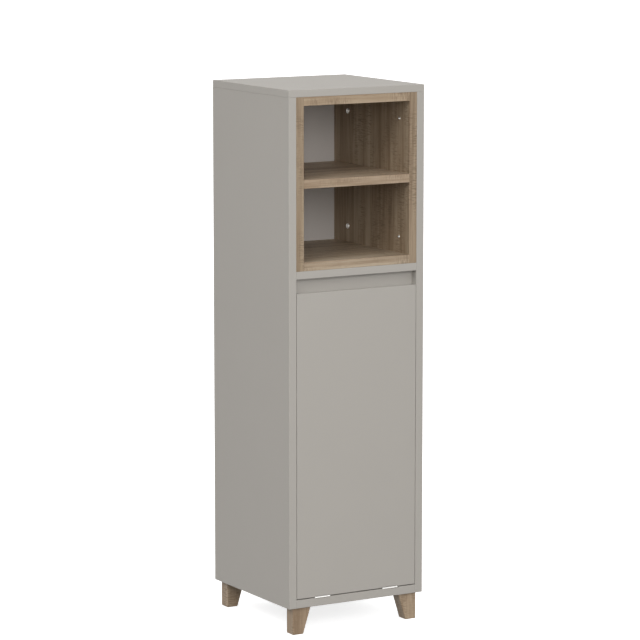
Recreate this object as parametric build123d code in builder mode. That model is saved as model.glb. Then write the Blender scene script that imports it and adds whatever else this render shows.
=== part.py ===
from build123d import *
from math import asin, cos, degrees, radians, sin, sqrt
import os

os.makedirs("parts", exist_ok=True)

# Frame: origin on the floor under the middle of the cabinet, front towards -Y, up +Z, millimetres.

# Overall sizes
cabinet_width = 350.0
cabinet_depth = 350.0
carcass_height = 1165.0
leg_height = 62.0

# Board thicknesses
side_thickness = 19.0
top_thickness = 16.5
bottom_thickness = 19.0
divider_thickness = 17.5
niche_thickness = 19.5
rail_thickness = 18.0
door_thickness = 18.0
back_thickness = 3.0
edge_radius = 0.8

# Heights and gaps of the front
niche_outer_height = 386.0
grip_gap = 32.0
rail_setback = 20.0
rail_overlap = 20.0
door_bottom_gap = 2.2
door_side_gap = 1.0
nose_thickness = 7.0
nose_radius = 1.5
pull_depth = 14.0
pull_radius = 5.0

# Groove of the back panel
back_setback = 14.0
groove_depth = 5.0
groove_play = 0.2
groove_end_play = 1.0

# Legs
leg_top_width = 46.5
leg_foot_width = 27.0
leg_depth = 29.5
leg_side_inset = 13.0
leg_front_inset = 6.5
leg_edge_radius = 2.0
leg_screw_spacing = 18.0
leg_screw_length = 45.0
leg_screw_radius = 2.25
leg_screw_head_radius = 4.2

# Cam fittings and dowels of the carcass
cam_radius = 7.5
cam_depth = 12.5
cam_setback = 24.0
cam_row = 80.0
cam_bolt_radius = 2.5
cam_bolt_head_radius = 3.5
cam_bolt_head_length = 3.0
cam_slot_width = 1.6
cam_slot_depth = 1.5
fitting_sink = 11.0
dowel_radius = 4.0
dowel_length = 30.0
dowel_row = 120.0
dowel_chamfer = 1.0
rail_cam_drop = 18.0
rail_dowel_drop = 40.0

# Fixings of the niche frame
confirmat_radius = 3.0
confirmat_length = 50.0
confirmat_head_radius = 4.8
confirmat_head_length = 3.0
confirmat_rows = (-135.0, 120.0)
niche_screw_setback = 43.5
niche_bolt_rear_gap = 63.0
niche_fixing_drop = 42.0
niche_fixing_rise = 37.0
niche_screw_radius = 2.0
niche_screw_head_radius = 3.5
niche_screw_head_height = 1.4
niche_bolt_radius = 3.0
niche_bolt_head_radius = 6.25
niche_bolt_head_height = 2.2
niche_fixing_length = 31.0

# Flap hinges
hinge_inset = 67.0
barrel_length = 40.0
barrel_radius = 2.6
barrel_setback = 0.1
knuckle_count = 5
knuckle_play = 0.3
barrel_relief = 0.35
pin_radius = 1.2
pin_play = 0.05
hinge_plate = 0.9
cup_radius = 17.5
cup_depth = 11.5
cup_wall = 1.2
cup_edge_distance = 25.5
cup_mouth_radius = 13.5
cup_flange_radius = 19.5
ear_spacing = 48.0
ear_width = 13.0
hinge_screw_length = 12.0

# Small wood screws and the play of pieces in their bores
screw_radius = 1.75
screw_head_radius = 3.4
screw_head_height = 1.6
screw_recess_depth = 0.7
screw_recess_span_share = 1.1
screw_recess_width_share = 0.24
screw_crown_share = 0.6
bore_play = 0.05

# Quadrant stays and their keepers
opening_angle = 35.0
stay_radius = 300.0
stay_width = 12.0
stay_thickness = 2.0
stay_inset = 4.4
stay_foot_length = 20.0
stay_foot_height = 32.0
stay_screw_spacing = 18.0
stay_screw_length = 12.0
stay_tail = 8.0
stop_radius = 4.0
stop_pin_radius = 2.0
stop_flange = 2.4
stop_gap = 0.4
keeper_angle = 8.5
keeper_depth = 14.0
keeper_height = 40.0
keeper_width = 9.0
keeper_corner_radius = 3.0
keeper_play = 0.5
keeper_screw_spacing = 29.0
keeper_screw_length = 18.0

# Magnetic catches and strike plates
catch_drop = 62.0
catch_width = 14.0
catch_length = 38.0
catch_body_depth = 16.0
catch_ear_length = 11.0
catch_ear_thickness = 3.0
catch_screw_length = 14.0
magnet_width = 6.0
magnet_length = 28.0
magnet_depth = 12.0
pole_thickness = 1.2
pole_reach = 1.0
strike_width = 10.0
strike_length = 38.0
strike_thickness = 1.8
strike_gap = 0.3
strike_screw_length = 12.0

# Laundry bag, its wire frame and the brackets
wire_radius = 3.0
wire_shoulder_bend = 12.0
wire_rear_bend = 25.0
frame_rise = 600.0
frame_side_gap = 28.0
frame_leg_standoff = 8.0
frame_leg_length = 62.0
crossbar_standoff = 27.0
frame_rear_reach = 262.0
bracket_width = 14.0
bracket_height = 32.0
bracket_plate_height = 62.0
bracket_plate = 2.5
bracket_plate_width = 22.0
bracket_floor = 3.0
bracket_wall = 3.0
bracket_screw_spacing = 48.0
bracket_screw_length = 14.0
fabric_thickness = 2.0
hem_wall = 1.5
hem_corner_front = 15.0
hem_corner_rear = 30.0
bag_floor_gap = 47.0
bag_taper = 10.0
bag_corner_radius = 22.0

# Faces and lines that follow from the sizes
half_width = cabinet_width / 2
inner_half = half_width - side_thickness
front_y = -cabinet_depth / 2
rear_y = cabinet_depth / 2
back_face_y = rear_y - back_setback - back_thickness
carcass_base = leg_height
carcass_top = carcass_base + carcass_height
top_underside = carcass_top - top_thickness
bottom_top = carcass_base + bottom_thickness
niche_base = top_underside - niche_outer_height
divider_underside = niche_base - divider_thickness
niche_half = inner_half - niche_thickness
niche_floor = niche_base + niche_thickness
niche_ceiling = top_underside - niche_thickness
niche_screw_y = front_y + niche_screw_setback
niche_bolt_y = back_face_y - niche_bolt_rear_gap
shelf_underside = (niche_floor + niche_ceiling - niche_thickness) / 2
door_base = bottom_top + door_bottom_gap
door_top = divider_underside - grip_gap
door_half = inner_half - door_side_gap
door_back_y = front_y + door_thickness
rail_face_y = front_y + rail_setback
rail_back_y = rail_face_y + rail_thickness
rail_base = door_top - rail_overlap
axis_y = front_y + barrel_radius + barrel_setback
axis_z = bottom_top + door_bottom_gap / 2
plate_start_y = axis_y + barrel_radius + barrel_relief
board_depth = back_face_y - front_y
board_mid_y = (front_y + back_face_y) / 2

SIDES = ((-1, "left"), (1, "right"))
UP = (0, 0, 1)
DOWN = (0, 0, -1)
REARWARD = (0, 1, 0)
ACROSS = (1, 0, 0)


def front_edges(board):
    """The edges round a board's front face."""
    return board.faces().sort_by(Axis.Y)[0].edges()


def pan_screw(length, shank_radius, head_radius, head_height):
    """Pan-head screw: seat of the head at the origin, shank along -Z, cross recess in the head."""
    recess_span = head_radius * screw_recess_span_share
    recess_width = head_radius * screw_recess_width_share
    with BuildPart() as screw:
        with BuildSketch():
            Circle(head_radius)
        extrude(amount=head_height)
        fillet(screw.edges().group_by(Axis.Z)[-1], head_height * screw_crown_share)
        with BuildSketch():
            Circle(shank_radius)
        extrude(amount=-length)
        with BuildSketch(Plane.XY.offset(head_height)):
            Rectangle(recess_span, recess_width)
            Rectangle(recess_width, recess_span)
        extrude(amount=-screw_recess_depth, mode=Mode.SUBTRACT)
    return screw.part


def countersunk_screw(length, shank_radius, head_radius):
    """Countersunk screw: flat of the head at the origin, shank along -Z."""
    head_height = head_radius - shank_radius
    with BuildPart() as screw:
        with BuildSketch(Plane.XZ):
            with BuildLine():
                Polyline(
                    (0, 0),
                    (head_radius, 0),
                    (shank_radius, -head_height),
                    (shank_radius, -length + shank_radius),
                    (0, -length),
                    close=True,
                )
            make_face()
        revolve(axis=Axis.Z)
    return screw.part


def plain_bore(planes, radius, depth):
    """Blind bores of one size into the faces that the planes look out of."""
    with Locations(*planes):
        Hole(radius, depth)


def cam_joint(mouth, normal, toward, axis_depth):
    """A cam fitting: its mouth on a board's face and the bolt's line to the next board."""
    end_point = Vector(*mouth) - Vector(*normal) * axis_depth + Vector(*toward) * cam_setback
    return {
        "cam": Plane(origin=mouth, x_dir=toward, z_dir=normal),
        "end_bore": Plane(origin=end_point, z_dir=toward),
        "mating_bore": Plane(origin=end_point, z_dir=Vector(*toward) * -1),
    }


def dowel_joint(point, toward):
    """A dowel across the face between two boards."""
    return {
        "end_bore": Plane(origin=point, z_dir=toward),
        "mating_bore": Plane(origin=point, z_dir=Vector(*toward) * -1),
    }


def drill_ends(cams, dowels):
    """Cam bores, bolt bores and dowel bores of the board that carries the cams."""
    plain_bore([joint["cam"] for joint in cams], cam_radius + bore_play, cam_depth)
    bolt_bores = [joint["end_bore"] for joint in cams]
    plain_bore(bolt_bores, cam_bolt_head_radius + bore_play, cam_setback + cam_bolt_head_length / 2)
    plain_bore([joint["end_bore"] for joint in dowels], dowel_radius, dowel_length - fitting_sink)


def drill_mates(cams, dowels):
    """Bolt bores and dowel bores of the board that the cams pull against."""
    plain_bore([joint["mating_bore"] for joint in cams], cam_bolt_radius, fitting_sink)
    plain_bore([joint["mating_bore"] for joint in dowels], dowel_radius, fitting_sink)


def bottom_joints(side):
    """Fittings between the bottom panel and one side panel."""
    direction = (side, 0, 0)
    mid = bottom_thickness / 2
    cam_x = side * (inner_half - cam_setback)
    cams = [cam_joint((cam_x, y, carcass_base), DOWN, direction, mid) for y in (-cam_row, cam_row)]
    rows = (-dowel_row, dowel_row)
    return cams, [dowel_joint((side * inner_half, y, carcass_base + mid), direction) for y in rows]


def divider_joints(side):
    """Fittings between the divider panel and one side panel."""
    direction = (side, 0, 0)
    mid = divider_thickness / 2
    cam_x = side * (inner_half - cam_setback)
    cams = [cam_joint((cam_x, y, divider_underside), DOWN, direction, mid) for y in (-cam_row, cam_row)]
    rows = (-dowel_row, dowel_row)
    return cams, [dowel_joint((side * inner_half, y, divider_underside + mid), direction) for y in rows]


def rail_joints(side):
    """Fittings between the grip rail and one side panel."""
    direction = (side, 0, 0)
    mid = rail_thickness / 2
    cam_x = side * (inner_half - cam_setback)
    cams = [cam_joint((cam_x, rail_back_y, divider_underside - rail_cam_drop), REARWARD, direction, mid)]
    dowel_z = divider_underside - rail_dowel_drop
    return cams, [dowel_joint((side * inner_half, rail_back_y - mid, dowel_z), direction)]


def top_joints(side):
    """Fittings between one side panel, which carries the cams, and the top panel."""
    mid = side_thickness / 2
    cam_z = top_underside - cam_setback
    inward = (-side, 0, 0)
    cams = [cam_joint((side * inner_half, y, cam_z), inward, UP, mid) for y in (-cam_row, cam_row)]
    dowel_x = side * (inner_half + mid)
    return cams, [dowel_joint((dowel_x, y, top_underside), UP) for y in (-dowel_row, dowel_row)]


def both_sides(joints):
    """Cams and dowels of a joint on the left and on the right."""
    cams = [joint for side, _ in SIDES for joint in joints(side)[0]]
    dowels = [joint for side, _ in SIDES for joint in joints(side)[1]]
    return cams, dowels


def niche_fixing_planes(side, y):
    """Heads of one upright row of fixings on a niche side board's inner face."""
    heights = (niche_ceiling - niche_fixing_drop, niche_floor + niche_fixing_rise)
    return [Plane(origin=(side * niche_half, y, z), z_dir=(-side, 0, 0)) for z in heights]


def confirmat_planes(side):
    """Heads of the confirmat screws on a niche side board's outer face."""
    levels = (niche_base, shelf_underside, niche_ceiling)
    points = [(side * inner_half, y, z + niche_thickness / 2) for z in levels for y in confirmat_rows]
    return [Plane(origin=point, z_dir=(side, 0, 0)) for point in points]


def leg_centre(side, end):
    """Middle of a leg's top face."""
    x = side * (half_width - leg_side_inset - leg_top_width / 2)
    y = end * (cabinet_depth / 2 - leg_front_inset - leg_depth / 2)
    return x, y


def leg_screw_planes(side, end, height):
    """The two screws of one leg at a given height."""
    x, y = leg_centre(side, end)
    offsets = (-leg_screw_spacing / 2, leg_screw_spacing / 2)
    return [Plane(origin=(x + offset, y, height), z_dir=UP) for offset in offsets]


all_leg_screw_planes = [
    plane for side, _ in SIDES for end in (-1, 1) for plane in leg_screw_planes(side, end, bottom_top)
]

# Hinge places: cups in the bottom panel and in the door, with a screw at each ear
hinge_offset = inner_half - hinge_inset
base_cup_y = front_y + cup_edge_distance
door_cup_z = door_base + cup_edge_distance


def base_cup_planes(lift):
    """Cup mouths of the fixed hinge halves, lifted above the bottom panel."""
    z = bottom_top + lift
    return [Plane(origin=(side * hinge_offset, base_cup_y, z), z_dir=UP) for side, _ in SIDES]


def door_cup_planes(lift):
    """Cup mouths of the moving hinge halves, lifted off the door's back."""
    y = door_back_y + lift
    return [Plane(origin=(side * hinge_offset, y, door_cup_z), z_dir=REARWARD) for side, _ in SIDES]


def ear_planes(cup_planes):
    """The two ear screws beside each cup."""
    shifts = (Vector(-ear_spacing / 2, 0, 0), Vector(ear_spacing / 2, 0, 0))
    return [Plane(origin=cup.origin + shift, z_dir=cup.z_dir) for cup in cup_planes for shift in shifts]


# Stay places
stay_x = inner_half - stay_inset
stay_foot_z = axis_z + sqrt(stay_radius**2 - (door_back_y - axis_y) ** 2)
keeper_y = axis_y + stay_radius * sin(radians(keeper_angle))
keeper_z = axis_z + stay_radius * cos(radians(keeper_angle))
keeper_half_angle = degrees(asin(keeper_depth / 2 / stay_radius))
stop_lead_angle = keeper_half_angle + degrees((stop_radius + stop_gap) / stay_radius)
stop_angle = keeper_angle + opening_angle + stop_lead_angle
tail_angle = stop_angle + degrees(stay_tail / stay_radius)


def keeper_plane(side):
    """Foot of a keeper on the side panel, turned square to the stay."""
    tangent = (0, cos(radians(keeper_angle)), -sin(radians(keeper_angle)))
    return Plane(origin=(side * inner_half, keeper_y, keeper_z), x_dir=tangent, z_dir=(-side, 0, 0))


def keeper_screw_planes(side, lift):
    """The two screws of a keeper, above and below the stay."""
    base = keeper_plane(side)
    shifts = (-keeper_screw_spacing / 2, keeper_screw_spacing / 2)
    return [Plane(origin=base.from_local_coords((0, shift, lift)), z_dir=base.z_dir) for shift in shifts]


def stay_screw_planes(lift):
    """The screws of the stays' feet on the door's back."""
    x = stay_x - stay_foot_length / 2
    heights = (stay_foot_z - stay_screw_spacing / 2, stay_foot_z + stay_screw_spacing / 2)
    y = door_back_y + lift
    return [Plane(origin=(side * x, y, z), z_dir=REARWARD) for side, _ in SIDES for z in heights]


# Catch places
catch_z = door_top - catch_drop
pole_face_y = door_back_y + strike_thickness + strike_gap
catch_face_y = pole_face_y + pole_reach
catch_mid_y = catch_face_y + catch_body_depth / 2
catch_screw_rise = catch_length / 2 + catch_ear_length / 2


def catch_screw_planes(side, lift):
    """The two ear screws of a catch."""
    x = side * (inner_half - lift)
    heights = (catch_z - catch_screw_rise, catch_z + catch_screw_rise)
    return [Plane(origin=(x, catch_mid_y, z), z_dir=(-side, 0, 0)) for z in heights]


def strike_planes(lift):
    """Middles of the strike plates, lifted off the door's back."""
    x = inner_half - catch_width / 2
    y = door_back_y + lift
    return [Plane(origin=(side * x, y, catch_z), x_dir=ACROSS, z_dir=REARWARD) for side, _ in SIDES]


# Bag frame places
frame_half_width = inner_half - frame_side_gap
frame_z = axis_z + frame_rise
frame_leg_y = door_back_y + frame_leg_standoff
crossbar_y = door_back_y + crossbar_standoff
frame_rear_y = axis_y + frame_rear_reach
frame_foot_z = frame_z - frame_leg_length
bracket_base = frame_foot_z - bracket_floor
bracket_mid_z = bracket_base + bracket_height / 2
hem_half = wire_radius + hem_wall


def bracket_screw_planes(lift):
    """The screws of the socket brackets on the door's back."""
    heights = (bracket_mid_z - bracket_screw_spacing / 2, bracket_mid_z + bracket_screw_spacing / 2)
    points = [(side * frame_half_width, door_back_y + lift, z) for side, _ in SIDES for z in heights]
    return [Plane(origin=point, z_dir=REARWARD) for point in points]


# Top panel over the side panels
with BuildPart() as top_panel:
    with BuildSketch(Plane.XY.offset(top_underside)):
        Rectangle(cabinet_width, cabinet_depth)
    extrude(amount=top_thickness)
    fillet(top_panel.edges(), edge_radius)
    with BuildSketch(Plane.XY.offset(top_underside)):
        with Locations((0, back_face_y + (back_thickness + groove_play) / 2)):
            Rectangle(2 * (inner_half + groove_depth), back_thickness + groove_play)
    extrude(amount=groove_depth, mode=Mode.SUBTRACT)
    drill_mates(*both_sides(top_joints))
top_panel.part.label = "top_panel"
export_step(top_panel.part, "parts/top_panel.step")

# Side panels, each with a groove for the back panel
for side, hand in SIDES:
    name = f"side_panel_{hand}"
    with BuildPart() as side_panel:
        with BuildSketch(Plane.XY.offset(carcass_base)):
            with Locations((side * (inner_half + side_thickness / 2), 0)):
                Rectangle(side_thickness, cabinet_depth)
        extrude(amount=top_underside - carcass_base)
        fillet(front_edges(side_panel), edge_radius)
        with BuildSketch(Plane.XY.offset(carcass_base)):
            with Locations((side * inner_half, back_face_y + (back_thickness + groove_play) / 2)):
                Rectangle(2 * groove_depth, back_thickness + groove_play)
        extrude(amount=top_underside - carcass_base, mode=Mode.SUBTRACT)
        drill_ends(*top_joints(side))
        for joints in (bottom_joints, divider_joints, rail_joints):
            drill_mates(*joints(side))
        for y, shank_radius in ((niche_screw_y, niche_screw_radius), (niche_bolt_y, niche_bolt_radius)):
            mouths = [plane.offset(-niche_thickness) for plane in niche_fixing_planes(side, y)]
            plain_bore(mouths, shank_radius + bore_play, niche_fixing_length - niche_thickness)
        wood_screw_bore = screw_radius + bore_play
        plain_bore(keeper_screw_planes(side, 0), wood_screw_bore, keeper_screw_length - keeper_width)
        plain_bore(catch_screw_planes(side, 0), wood_screw_bore, catch_screw_length - catch_ear_thickness)
    side_panel.part.label = name
    export_step(side_panel.part, f"parts/{name}.step")

# Bottom panel between the sides, with the cups and screws let into its top
with BuildPart() as bottom_panel:
    with BuildSketch(Plane.XY.offset(carcass_base)):
        Rectangle(2 * inner_half, cabinet_depth)
    extrude(amount=bottom_thickness)
    fillet(front_edges(bottom_panel), edge_radius)
    with BuildSketch(Plane.XY.offset(bottom_top)):
        with Locations((0, back_face_y + (back_thickness + groove_play) / 2)):
            Rectangle(2 * inner_half, back_thickness + groove_play)
    extrude(amount=-groove_depth, mode=Mode.SUBTRACT)
    with BuildSketch(Plane.XY.offset(bottom_top)):
        with Locations((-hinge_offset, front_y), (hinge_offset, front_y)):
            Rectangle(barrel_length + 2 * knuckle_play, 2 * (plate_start_y - front_y))
    extrude(amount=-(bottom_top - axis_z + barrel_radius + barrel_relief), mode=Mode.SUBTRACT)
    drill_ends(*both_sides(bottom_joints))
    plain_bore(base_cup_planes(0), cup_radius + bore_play, cup_depth)
    plain_bore(ear_planes(base_cup_planes(0)), screw_radius + bore_play, hinge_screw_length)
    with Locations(*all_leg_screw_planes):
        CounterSinkHole(
            leg_screw_radius + bore_play,
            leg_screw_head_radius + bore_play,
            bottom_thickness,
            counter_sink_angle=90,
        )
bottom_panel.part.label = "bottom_panel"
export_step(bottom_panel.part, "parts/bottom_panel.step")

# Divider panel between the niche and the hamper
with BuildPart() as divider_panel:
    with BuildSketch(Plane.XY.offset(divider_underside)):
        with Locations((0, board_mid_y)):
            Rectangle(2 * inner_half, board_depth)
    extrude(amount=divider_thickness)
    fillet(front_edges(divider_panel), edge_radius)
    drill_ends(*both_sides(divider_joints))
divider_panel.part.label = "divider_panel"
export_step(divider_panel.part, "parts/divider_panel.step")

# Grip rail set back behind the finger gap
with BuildPart() as grip_rail:
    with BuildSketch(Plane.XY.offset(rail_base)):
        with Locations((0, (rail_face_y + rail_back_y) / 2)):
            Rectangle(2 * inner_half, rail_thickness)
    extrude(amount=divider_underside - rail_base)
    drill_ends(*both_sides(rail_joints))
grip_rail.part.label = "grip_rail"
export_step(grip_rail.part, "parts/grip_rail.step")

# Back panel in the grooves
with BuildPart() as back_panel:
    with BuildSketch(Plane.XY.offset(bottom_top - groove_depth)):
        with Locations((0, back_face_y + back_thickness / 2)):
            Rectangle(2 * (inner_half + groove_depth - groove_end_play), back_thickness)
    extrude(amount=top_underside - bottom_top + 2 * groove_depth - groove_end_play)
back_panel.part.label = "back_panel"
export_step(back_panel.part, "parts/back_panel.step")

# Niche side boards, full height of the oak frame
for side, hand in SIDES:
    name = f"niche_side_{hand}"
    with BuildPart() as niche_side:
        with BuildSketch(Plane.XY.offset(niche_base)):
            with Locations((side * (niche_half + niche_thickness / 2), board_mid_y)):
                Rectangle(niche_thickness, board_depth)
        extrude(amount=niche_outer_height)
        fillet(front_edges(niche_side), edge_radius)
        for y, shank_radius in ((niche_screw_y, niche_screw_radius), (niche_bolt_y, niche_bolt_radius)):
            plain_bore(niche_fixing_planes(side, y), shank_radius + bore_play, niche_thickness)
        with Locations(*confirmat_planes(side)):
            CounterBoreHole(
                confirmat_radius + bore_play,
                confirmat_head_radius + bore_play,
                confirmat_head_length,
                niche_thickness,
            )
    niche_side.part.label = name
    export_step(niche_side.part, f"parts/{name}.step")

# Niche top, shelf and bottom between the niche side boards
for name, underside in (
    ("niche_bottom", niche_base),
    ("niche_shelf", shelf_underside),
    ("niche_top", niche_ceiling),
):
    with BuildPart() as niche_board:
        with BuildSketch(Plane.XY.offset(underside)):
            with Locations((0, board_mid_y)):
                Rectangle(2 * niche_half, board_depth)
        extrude(amount=niche_thickness)
        fillet(front_edges(niche_board), edge_radius)
        ends = [
            Plane(origin=(side * niche_half, y, underside + niche_thickness / 2), z_dir=(side, 0, 0))
            for side, _ in SIDES
            for y in confirmat_rows
        ]
        plain_bore(ends, confirmat_radius + bore_play, confirmat_length - niche_thickness)
    niche_board.part.label = name
    export_step(niche_board.part, f"parts/{name}.step")

# Legs: outer edge upright, inner edge sloping
for end, end_name in ((-1, "front"), (1, "rear")):
    for side, hand in SIDES:
        name = f"leg_{end_name}_{hand}"
        centre_x, centre_y = leg_centre(side, end)
        outer_x = side * (half_width - leg_side_inset)
        with BuildPart() as leg:
            with BuildSketch(Plane.XZ.offset(-centre_y)):
                with BuildLine():
                    Polyline(
                        (outer_x, 0),
                        (outer_x - side * leg_foot_width, 0),
                        (outer_x - side * leg_top_width, leg_height),
                        (outer_x, leg_height),
                        close=True,
                    )
                make_face()
            extrude(amount=leg_depth / 2, both=True)
            fillet(leg.edges().filter_by(lambda edge: edge.center().Z < leg_height), leg_edge_radius)
            plain_bore(
                leg_screw_planes(side, end, leg_height),
                leg_screw_radius + bore_play,
                leg_screw_length - bottom_thickness,
            )
        leg.part.label = name
        export_step(leg.part, f"parts/{name}.step")

# Cam locks: one for each cam fitting, with a side mouth for the bolt's head
carcass_joints = [both_sides(joints) for joints in (bottom_joints, divider_joints, rail_joints, top_joints)]
all_cams = [joint for cams, _ in carcass_joints for joint in cams]
all_dowels = [joint for _, dowels in carcass_joints for joint in dowels]

with BuildPart() as cam_locks:
    for joint in all_cams:
        with BuildSketch(joint["cam"]):
            Circle(cam_radius)
        extrude(amount=-cam_depth)
        with BuildSketch(joint["cam"]):
            Rectangle(cam_radius, cam_slot_width)
            Rectangle(cam_slot_width, cam_radius)
        extrude(amount=-cam_slot_depth, mode=Mode.SUBTRACT)
        mouth_start = joint["end_bore"].offset(-cam_setback - cam_bolt_head_length / 2)
        with BuildSketch(mouth_start):
            Circle(cam_bolt_head_radius + bore_play)
        extrude(amount=cam_setback, mode=Mode.SUBTRACT)
cam_locks.part.label = "cam_locks"
export_step(cam_locks.part, "parts/cam_locks.step")

# Cam bolts: screwed into the mating board, headed at the cam's middle
with BuildPart() as cam_bolts:
    for joint in all_cams:
        with BuildSketch(joint["mating_bore"].offset(-fitting_sink)):
            Circle(cam_bolt_radius)
        extrude(amount=fitting_sink + cam_setback - cam_bolt_head_length / 2)
        with BuildSketch(joint["mating_bore"].offset(cam_setback - cam_bolt_head_length / 2)):
            Circle(cam_bolt_head_radius)
        extrude(amount=cam_bolt_head_length)
cam_bolts.part.label = "cam_bolts"
export_step(cam_bolts.part, "parts/cam_bolts.step")

# Dowels
with BuildPart() as dowel:
    with BuildSketch(Plane.XY.offset(-fitting_sink)):
        Circle(dowel_radius)
    extrude(amount=dowel_length)
    chamfer(dowel.edges().filter_by(GeomType.CIRCLE), dowel_chamfer)
with BuildPart() as dowels:
    with Locations(*[joint["mating_bore"] for joint in all_dowels]):
        add(dowel.part)
dowels.part.label = "dowels"
export_step(dowels.part, "parts/dowels.step")

# Confirmat screws of the niche frame
with BuildPart() as confirmat:
    with BuildSketch(Plane.XZ):
        with BuildLine():
            Polyline(
                (0, 0),
                (confirmat_head_radius, 0),
                (confirmat_head_radius, -confirmat_head_length),
                (confirmat_radius, -confirmat_head_length),
                (confirmat_radius, -confirmat_length + confirmat_radius),
                (0, -confirmat_length),
                close=True,
            )
        make_face()
    revolve(axis=Axis.Z)
with BuildPart() as confirmats:
    with Locations(*[plane for side, _ in SIDES for plane in confirmat_planes(side)]):
        add(confirmat.part)
confirmats.part.label = "confirmats"
export_step(confirmats.part, "parts/confirmats.step")

# Fixed hinge halves, their pins and the moving halves
knuckle_pitch = barrel_length / knuckle_count
knuckle_length = knuckle_pitch - knuckle_play


def knuckle_offsets(first):
    """Middles of every second knuckle along the barrel, counted from the given one."""
    return [(index + 0.5) * knuckle_pitch - barrel_length / 2 for index in range(first, knuckle_count, 2)]


def cup_and_flange(mouth):
    """Cup with a flange and two ears, let into the board that the mouth plane looks out of."""
    with BuildSketch(mouth) as flange:
        Circle(cup_flange_radius)
        SlotCenterToCenter(ear_spacing, ear_width)
    extrude(flange.sketch, amount=hinge_plate)
    with BuildSketch(mouth) as cup:
        Circle(cup_radius)
    extrude(cup.sketch, amount=-cup_depth)
    with BuildSketch(mouth.offset(-cup_depth + cup_wall)) as hollow:
        Circle(cup_radius - cup_wall)
    extrude(hollow.sketch, amount=cup_depth - cup_wall, mode=Mode.SUBTRACT)
    with BuildSketch(mouth) as opening:
        Circle(cup_mouth_radius)
    extrude(opening.sketch, amount=hinge_plate, mode=Mode.SUBTRACT)
    ear_holes = [plane.offset(hinge_plate) for plane in ear_planes([mouth])]
    plain_bore(ear_holes, screw_radius + bore_play, hinge_plate)


def barrel_rods(middle_x, offsets, radius, length, mode=Mode.ADD):
    """Rods on the hinge axis, one at each offset along the barrel."""
    planes = [Plane(origin=(middle_x + offset, axis_y, axis_z), z_dir=ACROSS) for offset in offsets]
    with Locations(*planes):
        Cylinder(radius, length, mode=mode)


for (side, hand), base_mouth, door_mouth in zip(SIDES, base_cup_planes(0), door_cup_planes(0)):
    middle_x = side * hinge_offset
    finger_y = (axis_y + plate_start_y) / 2

    name = f"hinge_base_{hand}"
    with BuildPart() as hinge_base:
        with BuildSketch(Plane.XY.offset(bottom_top)):
            with Locations((middle_x, (plate_start_y + base_cup_y) / 2)):
                Rectangle(barrel_length, base_cup_y - plate_start_y)
            with Locations(*[(middle_x + offset, finger_y) for offset in knuckle_offsets(0)]):
                Rectangle(knuckle_length, plate_start_y - axis_y)
        extrude(amount=hinge_plate)
        barrel_rods(middle_x, knuckle_offsets(0), barrel_radius, knuckle_length)
        cup_and_flange(base_mouth)
        barrel_rods(middle_x, [0], pin_radius, barrel_length, mode=Mode.SUBTRACT)
    hinge_base.part.label = name
    export_step(hinge_base.part, f"parts/{name}.step")

    name = f"hinge_pin_{hand}"
    with BuildPart() as hinge_pin:
        barrel_rods(middle_x, [0], pin_radius, barrel_length)
    hinge_pin.part.label = name
    export_step(hinge_pin.part, f"parts/{name}.step")

    name = f"hinge_arm_{hand}"
    with BuildPart() as hinge_arm:
        with BuildSketch(Plane.YZ.offset(middle_x)):
            with BuildLine():
                Polyline(
                    (plate_start_y, door_base),
                    (plate_start_y, door_base - hinge_plate),
                    (door_back_y + hinge_plate, door_base - hinge_plate),
                    (door_back_y + hinge_plate, door_cup_z),
                    (door_back_y, door_cup_z),
                    (door_back_y, door_base),
                    close=True,
                )
            make_face()
        extrude(amount=barrel_length / 2, both=True)
        with BuildSketch(Plane.XY.offset(door_base)):
            with Locations(*[(middle_x + offset, finger_y) for offset in knuckle_offsets(1)]):
                Rectangle(knuckle_length, plate_start_y - axis_y)
        extrude(amount=-hinge_plate)
        barrel_rods(middle_x, knuckle_offsets(1), barrel_radius, knuckle_length)
        cup_and_flange(door_mouth)
        barrel_rods(middle_x, [0], pin_radius + pin_play, barrel_length, mode=Mode.SUBTRACT)
    hinge_arm.part.label = name
    export_step(hinge_arm.part, f"parts/{name}.step")

# Door panel with a finger pull behind its top edge
with BuildPart() as door_panel:
    with BuildSketch(Plane.YZ):
        with BuildLine():
            Polyline(
                (front_y, door_base),
                (door_back_y, door_base),
                (door_back_y, door_top - pull_depth),
                (front_y + nose_thickness, door_top - pull_depth),
                (front_y + nose_thickness, door_top),
                (front_y, door_top),
                close=True,
            )
        make_face()
    extrude(amount=door_half, both=True)
    pull_corner = (0, front_y + nose_thickness, door_top - pull_depth)
    nose_corner = (0, front_y + nose_thickness, door_top)
    for corner, radius in ((pull_corner, pull_radius), (nose_corner, nose_radius)):
        fillet(door_panel.edges().filter_by(Axis.X).sort_by_distance(corner)[0], radius)
    fillet(front_edges(door_panel), edge_radius)
    with BuildSketch(Plane.XY.offset(door_base)):
        with Locations((-hinge_offset, front_y), (hinge_offset, front_y)):
            Rectangle(barrel_length + 2 * knuckle_play, 2 * (plate_start_y - front_y))
    extrude(amount=axis_z + barrel_radius + barrel_relief - door_base, mode=Mode.SUBTRACT)
    plain_bore(door_cup_planes(0), cup_radius + bore_play, cup_depth)
    plain_bore(ear_planes(door_cup_planes(0)), screw_radius + bore_play, hinge_screw_length - hinge_plate)
    plain_bore(stay_screw_planes(0), screw_radius + bore_play, stay_screw_length - stay_thickness)
    plain_bore(bracket_screw_planes(0), screw_radius + bore_play, bracket_screw_length - bracket_plate)
    plain_bore(strike_planes(0), screw_radius + bore_play, strike_screw_length - strike_thickness)
door_panel.part.label = "door_panel"
export_step(door_panel.part, "parts/door_panel.step")


def stay_point(angle):
    """Point on the stay's middle line, in the side view, at an angle behind the upright."""
    return axis_y + stay_radius * sin(radians(angle)), axis_z + stay_radius * cos(radians(angle))


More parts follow.
